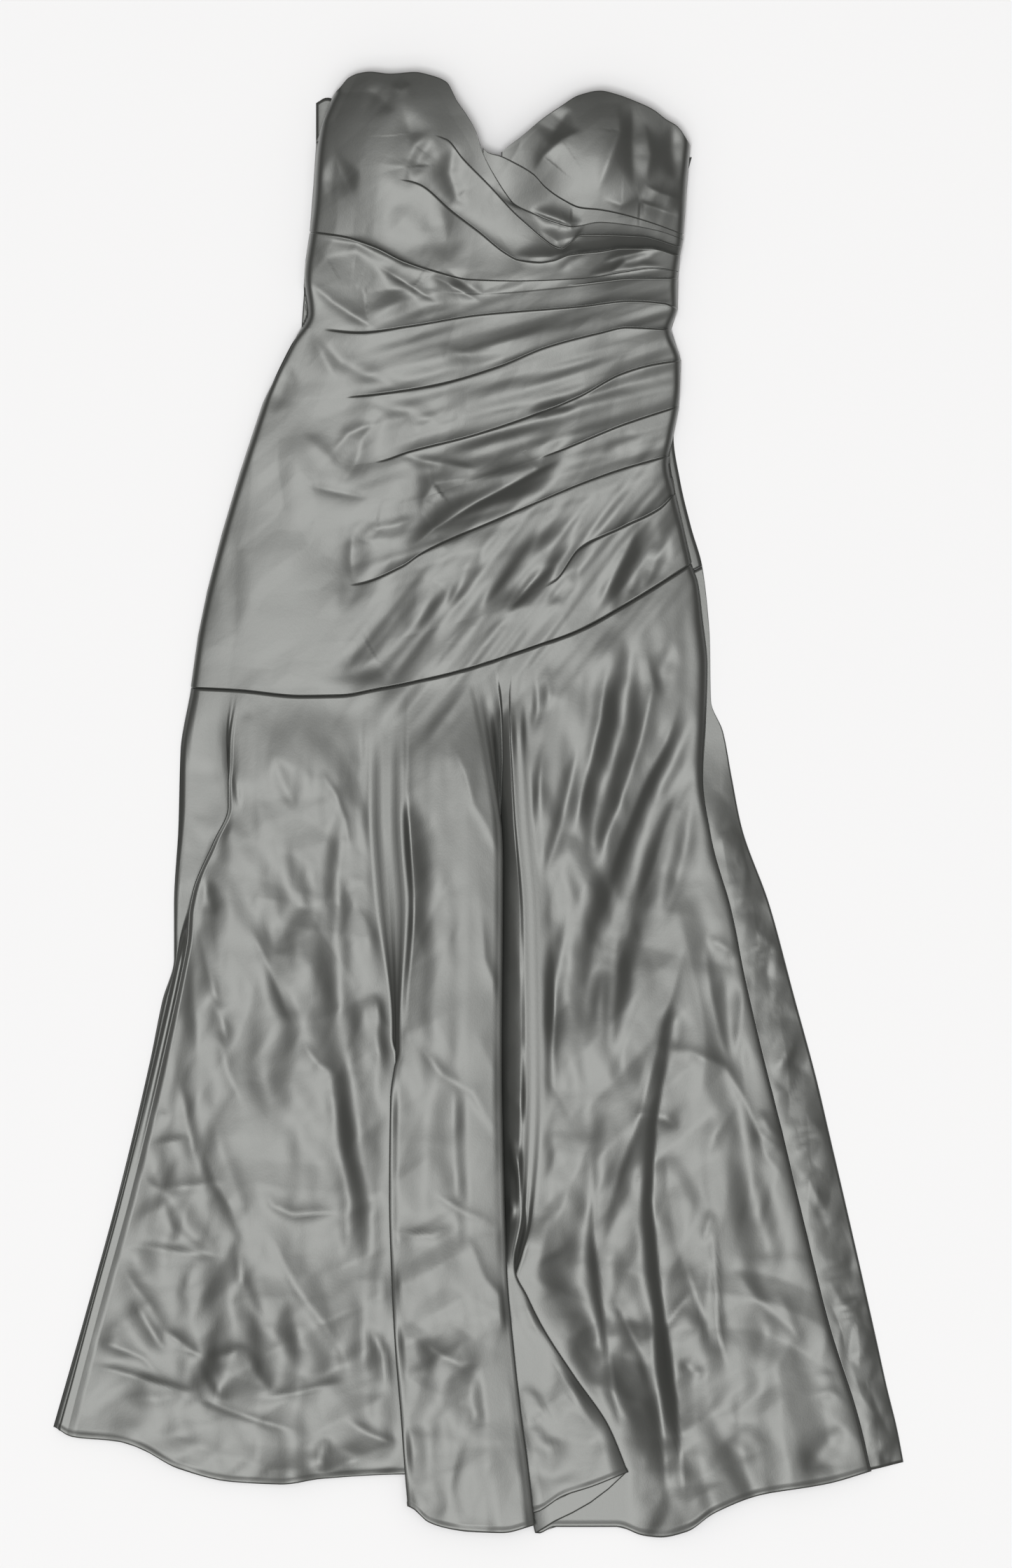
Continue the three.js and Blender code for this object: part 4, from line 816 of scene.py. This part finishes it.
def make_draped_midriff():
    lines = [underbust, *(line_of(line) for _, line in MIDRIFF_PLEATS), hip_seam]
    ends = [(UNDERBUST["x"][0], UNDERBUST["x"][-1])]
    ends += [(left_edge(line["y"][0]), right_edge(line["y"][-1])) for _, line in MIDRIFF_PLEATS]
    ends += [(HIP_SEAM["x"][0], HIP_SEAM["x"][-1])]
    counts = (16, 28, 34, 40, 34, 34, 30, 40)
    return band("draped_midriff_satin", lines, even_columns(ends, 260), counts, pleat_lift(MIDRIFF_PLEATS))


def hem_lift(below):
    """The turned and stitched hem: the cloth is thicker over HEM_WIDTH, with a groove along its
    stitches."""
    groove = (below - HEM_WIDTH + STITCH_INSET) / STITCH_WIDTH
    return HEM_RISE * ease((HEM_WIDTH - below) / HEM_EDGE) - STITCH_DEPTH * np.exp(-(groove**2))


def front_skirt_path():
    """Middle of the front skirt's cloth as a grid, rows from the hip seam to the hem. Each row runs through
    five panels, and where one ends the cloth takes an S: a half turn, a run back and a half turn the other
    way."""
    lines = {key: curve(rows, "y", "x") for key, rows in SKIRT_LINES.items()}
    overlap = {key: curve(OVERLAPS, "y", key) for key in SKIRT_LINES}
    height = {panel[0]: curve(HEIGHTS, "y", panel[0]) for panel in PANELS}
    hems = {key: line_of(rows) for key, rows in FRONT_HEM.items()}
    v = (1 - (1 - np.linspace(0, 1, SKIRT_ROWS)) ** ROW_DRIFT)[:, None]

    def row(hem, x):
        return mix(hip_seam(x) - GAP / 2, hems[hem](x), v)

    def crossing(line, hem):
        y = mix(SKIRT_TOP, SKIRT_END, v)
        for _ in range(ROUNDS):
            y = row(hem, line(y))
        return line(y)

    parts, folded_columns = [], []
    start = crossing(left_edge, "left")
    for number, (key, count, crown, fold, over, hem) in enumerate(PANELS):
        after = PANELS[number + 1] if fold else None
        end = crossing(lines[fold] if fold else right_edge, hem)
        if fold:
            end_y = row(hem, end)
            lap = overlap[fold](end_y)
            first = end + (lap if over == "next" else 0)
            second = end - (lap if over == "this" else 0)
            low, high = height[key](row(hem, first)), height[after[0]](row(after[5], second))
            if key == "recess":
                low = low + recess_slope(end, end_y, lines)
            fold_x, fold_z, share = fold_points(first, second, lap, low, high, ramp_of(fold, end_y))
            fold_y = mix(row(hem, fold_x), row(after[5], fold_x), share)
            end = fold_x[:, :1]
        f = np.linspace(0, 1, count + 1)[None, (1 if number else 0):]
        if fold:
            f = f[:, :-1]
        x = mix(start, end, f)
        y = row(hem, x)
        z = panel_height(x, y, f, height[key](y), key, fold, crown, lines)
        parts.append((x, y, z, y - hems[hem](x)))
        if fold:
            first_column = sum(part[0].shape[1] for part in parts)
            folded_columns.append((first_column - 1, first_column + fold_x.shape[1] + 1))
            fold_gap = fold_y - mix(hems[hem](fold_x), hems[after[5]](fold_x), share)
            parts.append((fold_x, fold_y, joined(fold_x, fold_y, fold_z), fold_gap))
            start = fold_x[:, -1:]
    x, y, z, gaps = (np.concatenate(values, axis=1) for values in zip(*parts))
    return x, y, z, gaps, folded_columns


def recess_slope(x, y, lines):
    """How far the recess rises from the flute's edge to the right part, steepest at the flute, until the
    flap starts to lie over it."""
    near, far = lines["right"](y), lines["flap"](y)
    share = np.clip((x - near) / np.maximum(far - near, RECESS_LEAST), 0, 1)
    rising = RECESS_RISE * share * (2 - share) * ease((y - RECESS_LOW) / RECESS_FADE)
    return rising * ease((RECESS_HIGH - y) / RECESS_FADE)


def ramp_of(fold, y):
    """Spacing of a fold's points where it has not folded over: wide where the step is soft, narrow at the
    fold."""
    start, wide = RAMP_WIDTHS[fold]
    return mix(RAMP, wide, ease((y - start) / RAMP_REACH))


def fold_points(first, second, lap, low, high, ramp):
    """The S at the end of a panel: a half circle of radius TURN, a straight run and a half circle the other
    way. Where nothing overlaps yet it is a ramp of the same points. Gives x, z and the share of the way
    from one panel to the next."""
    folded = np.clip(lap / (2 * TURN), 0, 1)
    up = np.where(high >= low, 1.0, -1.0)
    bend = np.minimum(TURN, np.abs(high - low) / 4)
    angle = np.linspace(0, np.pi, BEND_STEPS + 1)[None, :]
    run = np.linspace(0, 1, RUN_STEPS + 1)[None, 1:-1]
    a_across, a_z = TURN * (np.sin(angle) - 1), low + up * bend * (1 - np.cos(angle))
    b_across, b_z = TURN * (1 - np.sin(angle)), high - up * bend * (1 + np.cos(angle))
    step = 2 * angle / np.pi
    a_x = first + a_across * folded + (step - 2.5) * ramp * (1 - folded)
    b_x = second + b_across * folded + (step + 0.5) * ramp * (1 - folded)
    run_x, run_z = mix(a_x[:, -1:], b_x[:, :1], run), mix(a_z[:, -1:], b_z[:, :1], run)
    share = np.concatenate([0 * angle, run, 0 * angle + 1], axis=1)
    x, z = (np.concatenate(parts, axis=1) for parts in ((a_x, run_x, b_x), (a_z, run_z, b_z)))
    return x, z, share + 0 * first


def joined(x, y, z):
    """The skirt's height near the hip seam, where it takes up the hips' form over SEAM_REACH."""
    seam = ease((hip_seam(x) - y) / SEAM_REACH)
    return mix(body_height(x, y), z, seam)


def shown_share(x, y, key, lines):
    """Share of its creases that a panel shows: none where a neighbour hides it, and all a little way
    out."""
    if key in SHOWN:
        line, side, under, reach = SHOWN[key]
        return ease((side * (x - lines[line](y)) + under) / reach)
    if key == "right":
        return ease((x - lines["flap"](y)) / mix(*FLAP_FADES, ease((y - FLAP_START) / FLAP_BLEND)))
    return 1.0


def panel_creases(x, y, key, lines):
    """A panel's creases and unevenness. The recess turns into the flap, which lies on the right part, and
    the flute lies over the recess, so both only swell upwards there."""
    rumple = skirt_rumple(x, y) * (FLUTE_SHARE if key == "flute" else 1.0)
    raw = creases(x, y, SKIRT_CREASES, SKIRT_SHARE) + rumple
    if key == "recess":
        raw = settle(SWELL * raw) / SWELL
    if key == "flute":
        raw = mix(raw, settle(SWELL * raw) / SWELL, ease((x - lines["right"](y) + FLUTE_OVER) / FLUTE_FADE))
    return raw


def panel_height(x, y, f, z, key, fold, crown, lines):
    """A panel's height: its own level, its crown and the creases, calmed beside its folds and where it is
    hidden, times a rise from both side seams."""
    if key == "right":
        body = mix(z, RIGHT_LOFT, ease((x - lines["flap"](y)) / FLAP_REACH))
    else:
        body = z + 4 * crown * f * (1 - f)
    if key == "recess":
        body = body + recess_slope(x, y, lines)
    calm = ease(CALM * (1 - f)) if fold else 1.0
    settled = 1.0 if key == "side" else ease(CALM * f)
    open_seam, inside = ease((OPEN_FROM - y) / OPEN_REACH), right_edge(y) - x
    rise = edge_rise(x - left_edge(y), y) * (1 - mix(1, OPEN_SEAM, open_seam) * np.exp(-inside / SEAM_ROLL))
    rise = rise * (1 - SAG * np.exp(-inside / SAG_REACH))
    soft = panel_creases(x, y, key, lines) * calm * settled * shown_share(x, y, key, lines)
    level = SEAT + settle(body - SEAT + soft) * np.maximum(0, rise)
    return joined(x, y, level)


def make_front_skirt():
    """The front skirt: its middle surface moved half a cloth's thickness each way along its normal. The
    lower layer follows the lowest height nearby, except in the folds, which it keeps whole."""
    x, y, z, gaps, folds = front_skirt_path()
    path = np.stack([x, y, z], axis=2)
    before, after = np.roll(path, 1, axis=1), np.roll(path, -1, axis=1)
    before[:, 0], after[:, -1] = path[:, 0], path[:, -1]
    tangent = after - before
    tangent[..., 1] = 0
    tangent /= np.linalg.norm(tangent, axis=2, keepdims=True)
    normal = np.stack([-tangent[..., 2], 0 * x, tangent[..., 0]], axis=2)
    thick = hem_lift(gaps)[..., None]
    upper = path + normal * (CLOTH / 2 + np.maximum(thick, GROOVE_LIMIT))
    lower = path - normal * CLOTH / 2
    level = lowest_near(lower[..., 2], UNDER_STEP)
    flat = np.ones(x.shape[1], bool)
    for start, end in folds:
        flat[start - UNDER_STEP:end + UNDER_STEP] = False
    lower[:, flat, 2] = level[:, flat]
    lower[..., 2] = np.maximum(lower[..., 2], FRONT_SEAT)
    under = kept(len(x), UNDER_STEP), kept(x.shape[1], UNDER_STEP, folds)
    return shell("front_skirt_satin", upper, lower, *under)


def back_piece(name, top_line, low_line, left_of, right_of, rows, columns, hidden):
    """A flat piece of the back between two lines and two edges, as high as BACK. The share hidden of its
    columns lies under the front, up to just inside its seam. The rest stands up at the front's seam and
    falls to its own edge."""
    u = np.linspace(0, 1, columns)[None, :]
    v = np.asarray(rows)[:, None]
    x = 0 * u * v
    y = mix(top_line(x), low_line(x), v)
    for _ in range(ROUNDS):
        left, right = left_of(y, v), right_of(y, v)
        inner = right if hidden == 1 else np.minimum(right_edge(y) - 3, right - 1)
        beside = mix(inner, right, (u - hidden) / max(1 - hidden, 0.01))
        x = np.where(u <= hidden, mix(left, inner, u / hidden), beside)
        y = mix(top_line(x), low_line(x), v)
    rim = np.minimum(np.minimum(u, 1 - u) * columns, 2) / 2
    covered = np.clip(creases(x, y, BACK_CREASES, BACK_SHARE), BACK_GROOVE, 0)
    top = BACK * mix(BACK_EDGE, 1, rim) + covered
    if hidden < 1:
        wide = np.maximum(right - right_edge(y), 4)
        share = np.clip((x - right_edge(y)) / wide, 0, 1)
        loose = 1.4 * facets(x, y, 26, 71) + 0.7 * facets(x, y, 12, 73) + creases(x, y, BACK_CREASES)
        stand = SLIVER_LOFT * (1 - share**2) + loose * 4 * share * (1 - share)
        opened = ease((OPEN_FROM - y) / OPEN_REACH)
        top = top + np.maximum(stand, 0) * opened * ease((x - right_edge(y) + 3) / 3)
    upper, lower = (np.stack([x, y, z + 0 * x], axis=2) for z in (top, BACK_UNDERSIDE))
    return shell(name, upper, lower)


def make_back():
    """The two halves of the bodice's back, the zip tape between them down to ZIP_END, and the back
    skirt."""
    left, right = curve(BACK_LEFT, "y", "x"), curve(BACK_RIGHT, "y", "x")
    centre = curve(CENTRE_BACK, "y", "x")
    neck, seam, hem = line_of(BACK_NECKLINE), line_of(BACK_HIP_SEAM), line_of(BACK_HEM)
    middle = float(centre(ZIP_END))
    zip_end = float((neck(middle) - ZIP_END) / (neck(middle) - seam(middle)))

    def parted(v):
        return np.where(v <= zip_end, ZIP_WIDTH / 2 + GAP, GAP / 2)

    def above(x):
        return seam(x) + GAP / 2

    def below(x):
        return seam(x) - GAP / 2

    def side(line, offset=None, way=1):
        """An edge of a piece: a line, moved to one side by what offset gives."""
        def edge(y, v):
            return line(y) + way * offset(v) if offset else line(y)
        return edge

    def half_zip(v):
        return ZIP_WIDTH / 2

    rows = np.sort(np.concatenate([np.linspace(0, 1, 160), [zip_end, zip_end + 0.002]]))
    zip_rows = np.linspace(0, zip_end - 0.003, 120)
    pieces = (
        ("back_bodice_left_satin", neck, above, side(left), side(centre, parted, -1), rows, 60, 1.0),
        ("back_bodice_right_satin", neck, above, side(centre, parted), side(right), rows, 60, 1.0),
        ("back_zip_tape", neck, above, side(centre, half_zip, -1), side(centre, half_zip), zip_rows, 9, 1.0),
        ("back_skirt_satin", below, hem, side(left), side(right), np.linspace(0, 1, 240), 190, 0.7),
    )
    return [back_piece(*piece) for piece in pieces]


def node(tree, kind, **inputs):
    """A new shader node with the given values set on its sockets."""
    made = tree.nodes.new(kind)
    set_inputs(tree, made, **inputs)
    return made


def set_inputs(tree, shader, **inputs):
    """Sets a node's sockets: an output of another node is linked, and anything else is its value."""
    for key, value in inputs.items():
        socket = shader.inputs[key.replace("_", " ")]
        if isinstance(value, bpy.types.NodeSocket):
            tree.links.new(value, socket)
        else:
            socket.default_value = value


def new_material(name):
    """A material with nodes: the material, its tree and its shader."""
    material = bpy.data.materials.new(name)
    material.use_nodes = True
    return material, material.node_tree, material.node_tree.nodes["Principled BSDF"]


def cloudy_colour(tree, shader, place, colour, shares, **noise):
    """Gives the shader a colour that drifts between two shares of the given one."""
    cloudy = node(tree, "ShaderNodeTexNoise", Vector=place, **noise)
    tone = tree.nodes.new("ShaderNodeMix")
    tone.data_type = "RGBA"
    tree.links.new(cloudy.outputs["Fac"], tone.inputs["Factor"])
    sockets = [socket for socket in tone.inputs if socket.type == "RGBA"]
    for socket, share in zip(sockets, shares):
        socket.default_value = [channel * share for channel in colour[:3]] + [1]
    result = [socket for socket in tone.outputs if socket.type == "RGBA"][0]
    tree.links.new(result, shader.inputs["Base Color"])


def satin_material():
    """Satin: a dark smooth weave with a glossy lobe and a little sheen, with fine threads and mottling."""
    settings = bpy.context.scene.dress_cloth
    material, tree, shader = new_material("dress_satin")
    set_inputs(tree, shader, Roughness=settings.roughness, Specular_IOR_Level=settings.shine, IOR=1.55,
        Specular_Tint=(0.985, 1.0, 0.965, 1), Sheen_Weight=0.2, Sheen_Roughness=0.35,
        Sheen_Tint=(0.6, 0.62, 0.58, 1))
    place = tree.nodes.new("ShaderNodeTexCoord").outputs["Object"]
    mottle = node(tree, "ShaderNodeTexNoise", Vector=place, Scale=260.0, Detail=4.0, Roughness=0.7)
    cloudy_colour(tree, shader, place, settings.colour, (0.92, 1.08), Scale=14.0, Detail=3.0)
    stretch = node(tree, "ShaderNodeMapping", Vector=place, Scale=(1400.0, 420.0, 900.0))
    threads = node(tree, "ShaderNodeTexNoise", Vector=stretch.outputs["Vector"], Scale=1.0, Detail=2.0)
    grain = node(tree, "ShaderNodeBump", Height=threads.outputs["Fac"], Strength=0.12, Distance=0.0002)
    wrinkles = node(tree, "ShaderNodeBump", Height=mottle.outputs["Fac"], Strength=0.1, Distance=0.0004,
        Normal=grain.outputs["Normal"])
    set_inputs(tree, shader, Normal=wrinkles.outputs["Normal"])
    return material


def tape_material():
    """Woven zip tape: matt, with fine ribs across it."""
    settings = bpy.context.scene.dress_cloth
    material, tree, shader = new_material("dress_zip_tape")
    darker = [channel * 0.8 for channel in settings.colour[:3]] + [1]
    place = tree.nodes.new("ShaderNodeTexCoord").outputs["Object"]
    ribs = node(tree, "ShaderNodeTexWave", Vector=place, Scale=500.0)
    ribs.bands_direction = "Y"
    bump = node(tree, "ShaderNodeBump", Height=ribs.outputs["Fac"], Strength=0.4, Distance=0.0003)
    set_inputs(tree, shader, Base_Color=darker, Roughness=0.8, Normal=bump.outputs["Normal"])
    return material


def dress(piece, node_name, slot, make_material):
    """Gives a piece its material and makes it stand for its CAD node."""
    material = bpy.data.materials.get("dress_" + slot) or make_material()
    piece.data.materials.append(material)
    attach(piece, "root")
    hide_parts(node_name)


class DressCloth(bpy.types.PropertyGroup):
    """Sizes and colours of the dress's cloth."""

    colour: bpy.props.FloatVectorProperty(name="Satin colour", description="Base colour of the satin",
        subtype="COLOR", size=3, min=0, max=1, default=(0.031, 0.0324, 0.0301))
    roughness: bpy.props.FloatProperty(name="Roughness", description="Spread of the satin's sheen",
        subtype="FACTOR", min=0, max=1, default=0.38)
    shine: bpy.props.FloatProperty(name="Shine", description="Strength of the satin's sheen",
        subtype="FACTOR", min=0, max=1, default=0.7)


class DressStage(bpy.types.PropertyGroup):
    """Sizes and colours of the stage around the dress."""

    camera_height: bpy.props.FloatProperty(name="Camera height",
        description="Height of the camera above the floor", unit="LENGTH", default=12.0)
    framed_length: bpy.props.FloatProperty(name="Framed length",
        description="Length of floor that the camera sees", unit="LENGTH", default=1.4298)
    floor_colour: bpy.props.FloatVectorProperty(name="Floor colour", description="Colour of the pale floor",
        subtype="COLOR", size=3, min=0, max=1, default=(0.893, 0.896, 0.902))
    light_power: bpy.props.FloatProperty(name="Light power", description="Power of the large light above",
        unit="POWER", default=2030.0)


class DRESS_OT_bust_wrap(bpy.types.Operator):
    """Makes the crossed-over bust with its two pleats"""

    bl_idname = "dress.bust_wrap"
    bl_label = "Bust wrap"

    def execute(self, context):
        piece = make_bust_wrap()
        dress(piece, "bust_wrap", "satin", satin_material)
        return {"FINISHED"}


class DRESS_OT_centre_band(bpy.types.Operator):
    """Makes the band under the neckline's point"""

    bl_idname = "dress.centre_band"
    bl_label = "Centre band"

    def execute(self, context):
        piece = make_centre_band()
        dress(piece, "centre_band", "satin", satin_material)
        return {"FINISHED"}


class DRESS_OT_right_cup(bpy.types.Operator):
    """Makes the right cup"""

    bl_idname = "dress.right_cup"
    bl_label = "Right cup"

    def execute(self, context):
        piece = make_right_cup()
        dress(piece, "right_cup", "satin", satin_material)
        return {"FINISHED"}


class DRESS_OT_draped_midriff(bpy.types.Operator):
    """Makes the draped midriff with its seven pleats"""

    bl_idname = "dress.draped_midriff"
    bl_label = "Draped midriff"

    def execute(self, context):
        piece = make_draped_midriff()
        dress(piece, "draped_midriff", "satin", satin_material)
        return {"FINISHED"}


class DRESS_OT_front_skirt(bpy.types.Operator):
    """Makes the front skirt with its flute, recess and flap"""

    bl_idname = "dress.front_skirt"
    bl_label = "Front skirt"

    def execute(self, context):
        piece = make_front_skirt()
        dress(piece, "front_skirt", "satin", satin_material)
        return {"FINISHED"}


class DRESS_OT_back(bpy.types.Operator):
    """Makes the back: two halves of the bodice, the closed zip between them, and the back skirt"""

    bl_idname = "dress.back"
    bl_label = "Back"

    def execute(self, context):
        left, right, tape, skirt = make_back()
        dress(left, "back_bodice_left", "satin", satin_material)
        dress(right, "back_bodice_right", "satin", satin_material)
        dress(tape, "back_zip", "zip_tape", tape_material)
        dress(skirt, "back_skirt", "satin", satin_material)
        return {"FINISHED"}


class DRESS_OT_stage(bpy.types.Operator):
    """Makes the pale floor, the soft lights and the camera straight above"""

    bl_idname = "dress.stage"
    bl_label = "Stage"

    def execute(self, context):
        settings = context.scene.dress_stage
        make_floor(settings)
        make_lights(settings)
        make_camera(settings)
        return {"FINISHED"}


def make_floor(settings):
    side = np.array([(-1, -1, 0), (1, -1, 0), (1, 1, 0), (-1, 1, 0)]) * FLOOR_HALF
    floor = mesh_object("floor", side, [[0, 1, 2, 3]])
    material, tree, shader = new_material("pale_floor")
    place = tree.nodes.new("ShaderNodeTexCoord").outputs["Object"]
    cloudy_colour(tree, shader, place, settings.floor_colour, (0.99, 1.0), Scale=1.2, Detail=2.0)
    set_inputs(tree, shader, Roughness=0.9, Specular_IOR_Level=0.1)
    floor.data.materials.append(material)


def make_light(name, place, size, power):
    """A square white light that faces the frame's origin."""
    light = bpy.data.lights.new(name, "AREA")
    light.shape = "SQUARE"
    light.size = size
    light.energy = power
    light.color = (1, 1, 1)
    lamp = bpy.data.objects.new(name, light)
    bpy.context.scene.collection.objects.link(lamp)
    lamp.location = place
    direction = -np.array(place)
    lamp.rotation_euler = (
        math.atan2(math.hypot(direction[0], direction[1]), -direction[2]),
        0,
        math.atan2(direction[1], direction[0]) - math.pi / 2,
    )


def make_lights(settings):
    make_light("overhead_softbox", (-1.0, -2.2, 20), 5.6, settings.light_power)
    make_light("wide_softbox", (0, -2.2, 20.5), 21.0, WIDE_SHARE * settings.light_power)
    world = bpy.data.worlds.new("dim_room")
    world.use_nodes = True
    background = world.node_tree.nodes["Background"]
    set_inputs(world.node_tree, background, Color=(1.0, 0.97, 0.94, 1), Strength=0.3)
    bpy.context.scene.world = world
    bpy.context.scene.view_settings.view_transform = "Standard"


def make_camera(settings):
    data = bpy.data.cameras.new("overhead_camera")
    data.sensor_fit = "VERTICAL"
    data.sensor_height = SENSOR
    data.sensor_width = SENSOR
    data.lens = SENSOR * settings.camera_height / settings.framed_length
    camera = bpy.data.objects.new("overhead_camera", data)
    bpy.context.scene.collection.objects.link(camera)
    camera.location = (*VIEW_CENTRE, settings.camera_height)
    bpy.context.scene.camera = camera


class DRESS_PT_panel(bpy.types.Panel):
    """Lists the dress's operators in the sidebar"""

    bl_idname = "DRESS_PT_panel"
    bl_label = "Dress"
    bl_space_type = "VIEW_3D"
    bl_region_type = "UI"
    bl_category = "Dress"

    def draw(self, context):
        for operator in OPERATORS:
            self.layout.operator(operator.bl_idname)
        for name in ("colour", "roughness", "shine"):
            self.layout.prop(context.scene.dress_cloth, name)
        for name in ("camera_height", "framed_length", "floor_colour", "light_power"):
            self.layout.prop(context.scene.dress_stage, name)


OPERATORS = (
    DRESS_OT_stage,
    DRESS_OT_back,
    DRESS_OT_front_skirt,
    DRESS_OT_draped_midriff,
    DRESS_OT_bust_wrap,
    DRESS_OT_centre_band,
    DRESS_OT_right_cup,
)
CLASSES = (DressCloth, DressStage, *OPERATORS, DRESS_PT_panel)


def register():
    for made in CLASSES:
        bpy.utils.register_class(made)
    bpy.types.Scene.dress_cloth = bpy.props.PointerProperty(type=DressCloth)
    bpy.types.Scene.dress_stage = bpy.props.PointerProperty(type=DressStage)


def unregister():
    del bpy.types.Scene.dress_stage
    del bpy.types.Scene.dress_cloth
    for made in reversed(CLASSES):
        bpy.utils.unregister_class(made)


def main():
    register()
    bpy.ops.dress.stage()
    bpy.ops.dress.back()
    bpy.ops.dress.front_skirt()
    bpy.ops.dress.draped_midriff()
    bpy.ops.dress.bust_wrap()
    bpy.ops.dress.centre_band()
    bpy.ops.dress.right_cup()
    bpy.context.view_layer.update()


if __name__ == "__main__":
    main()
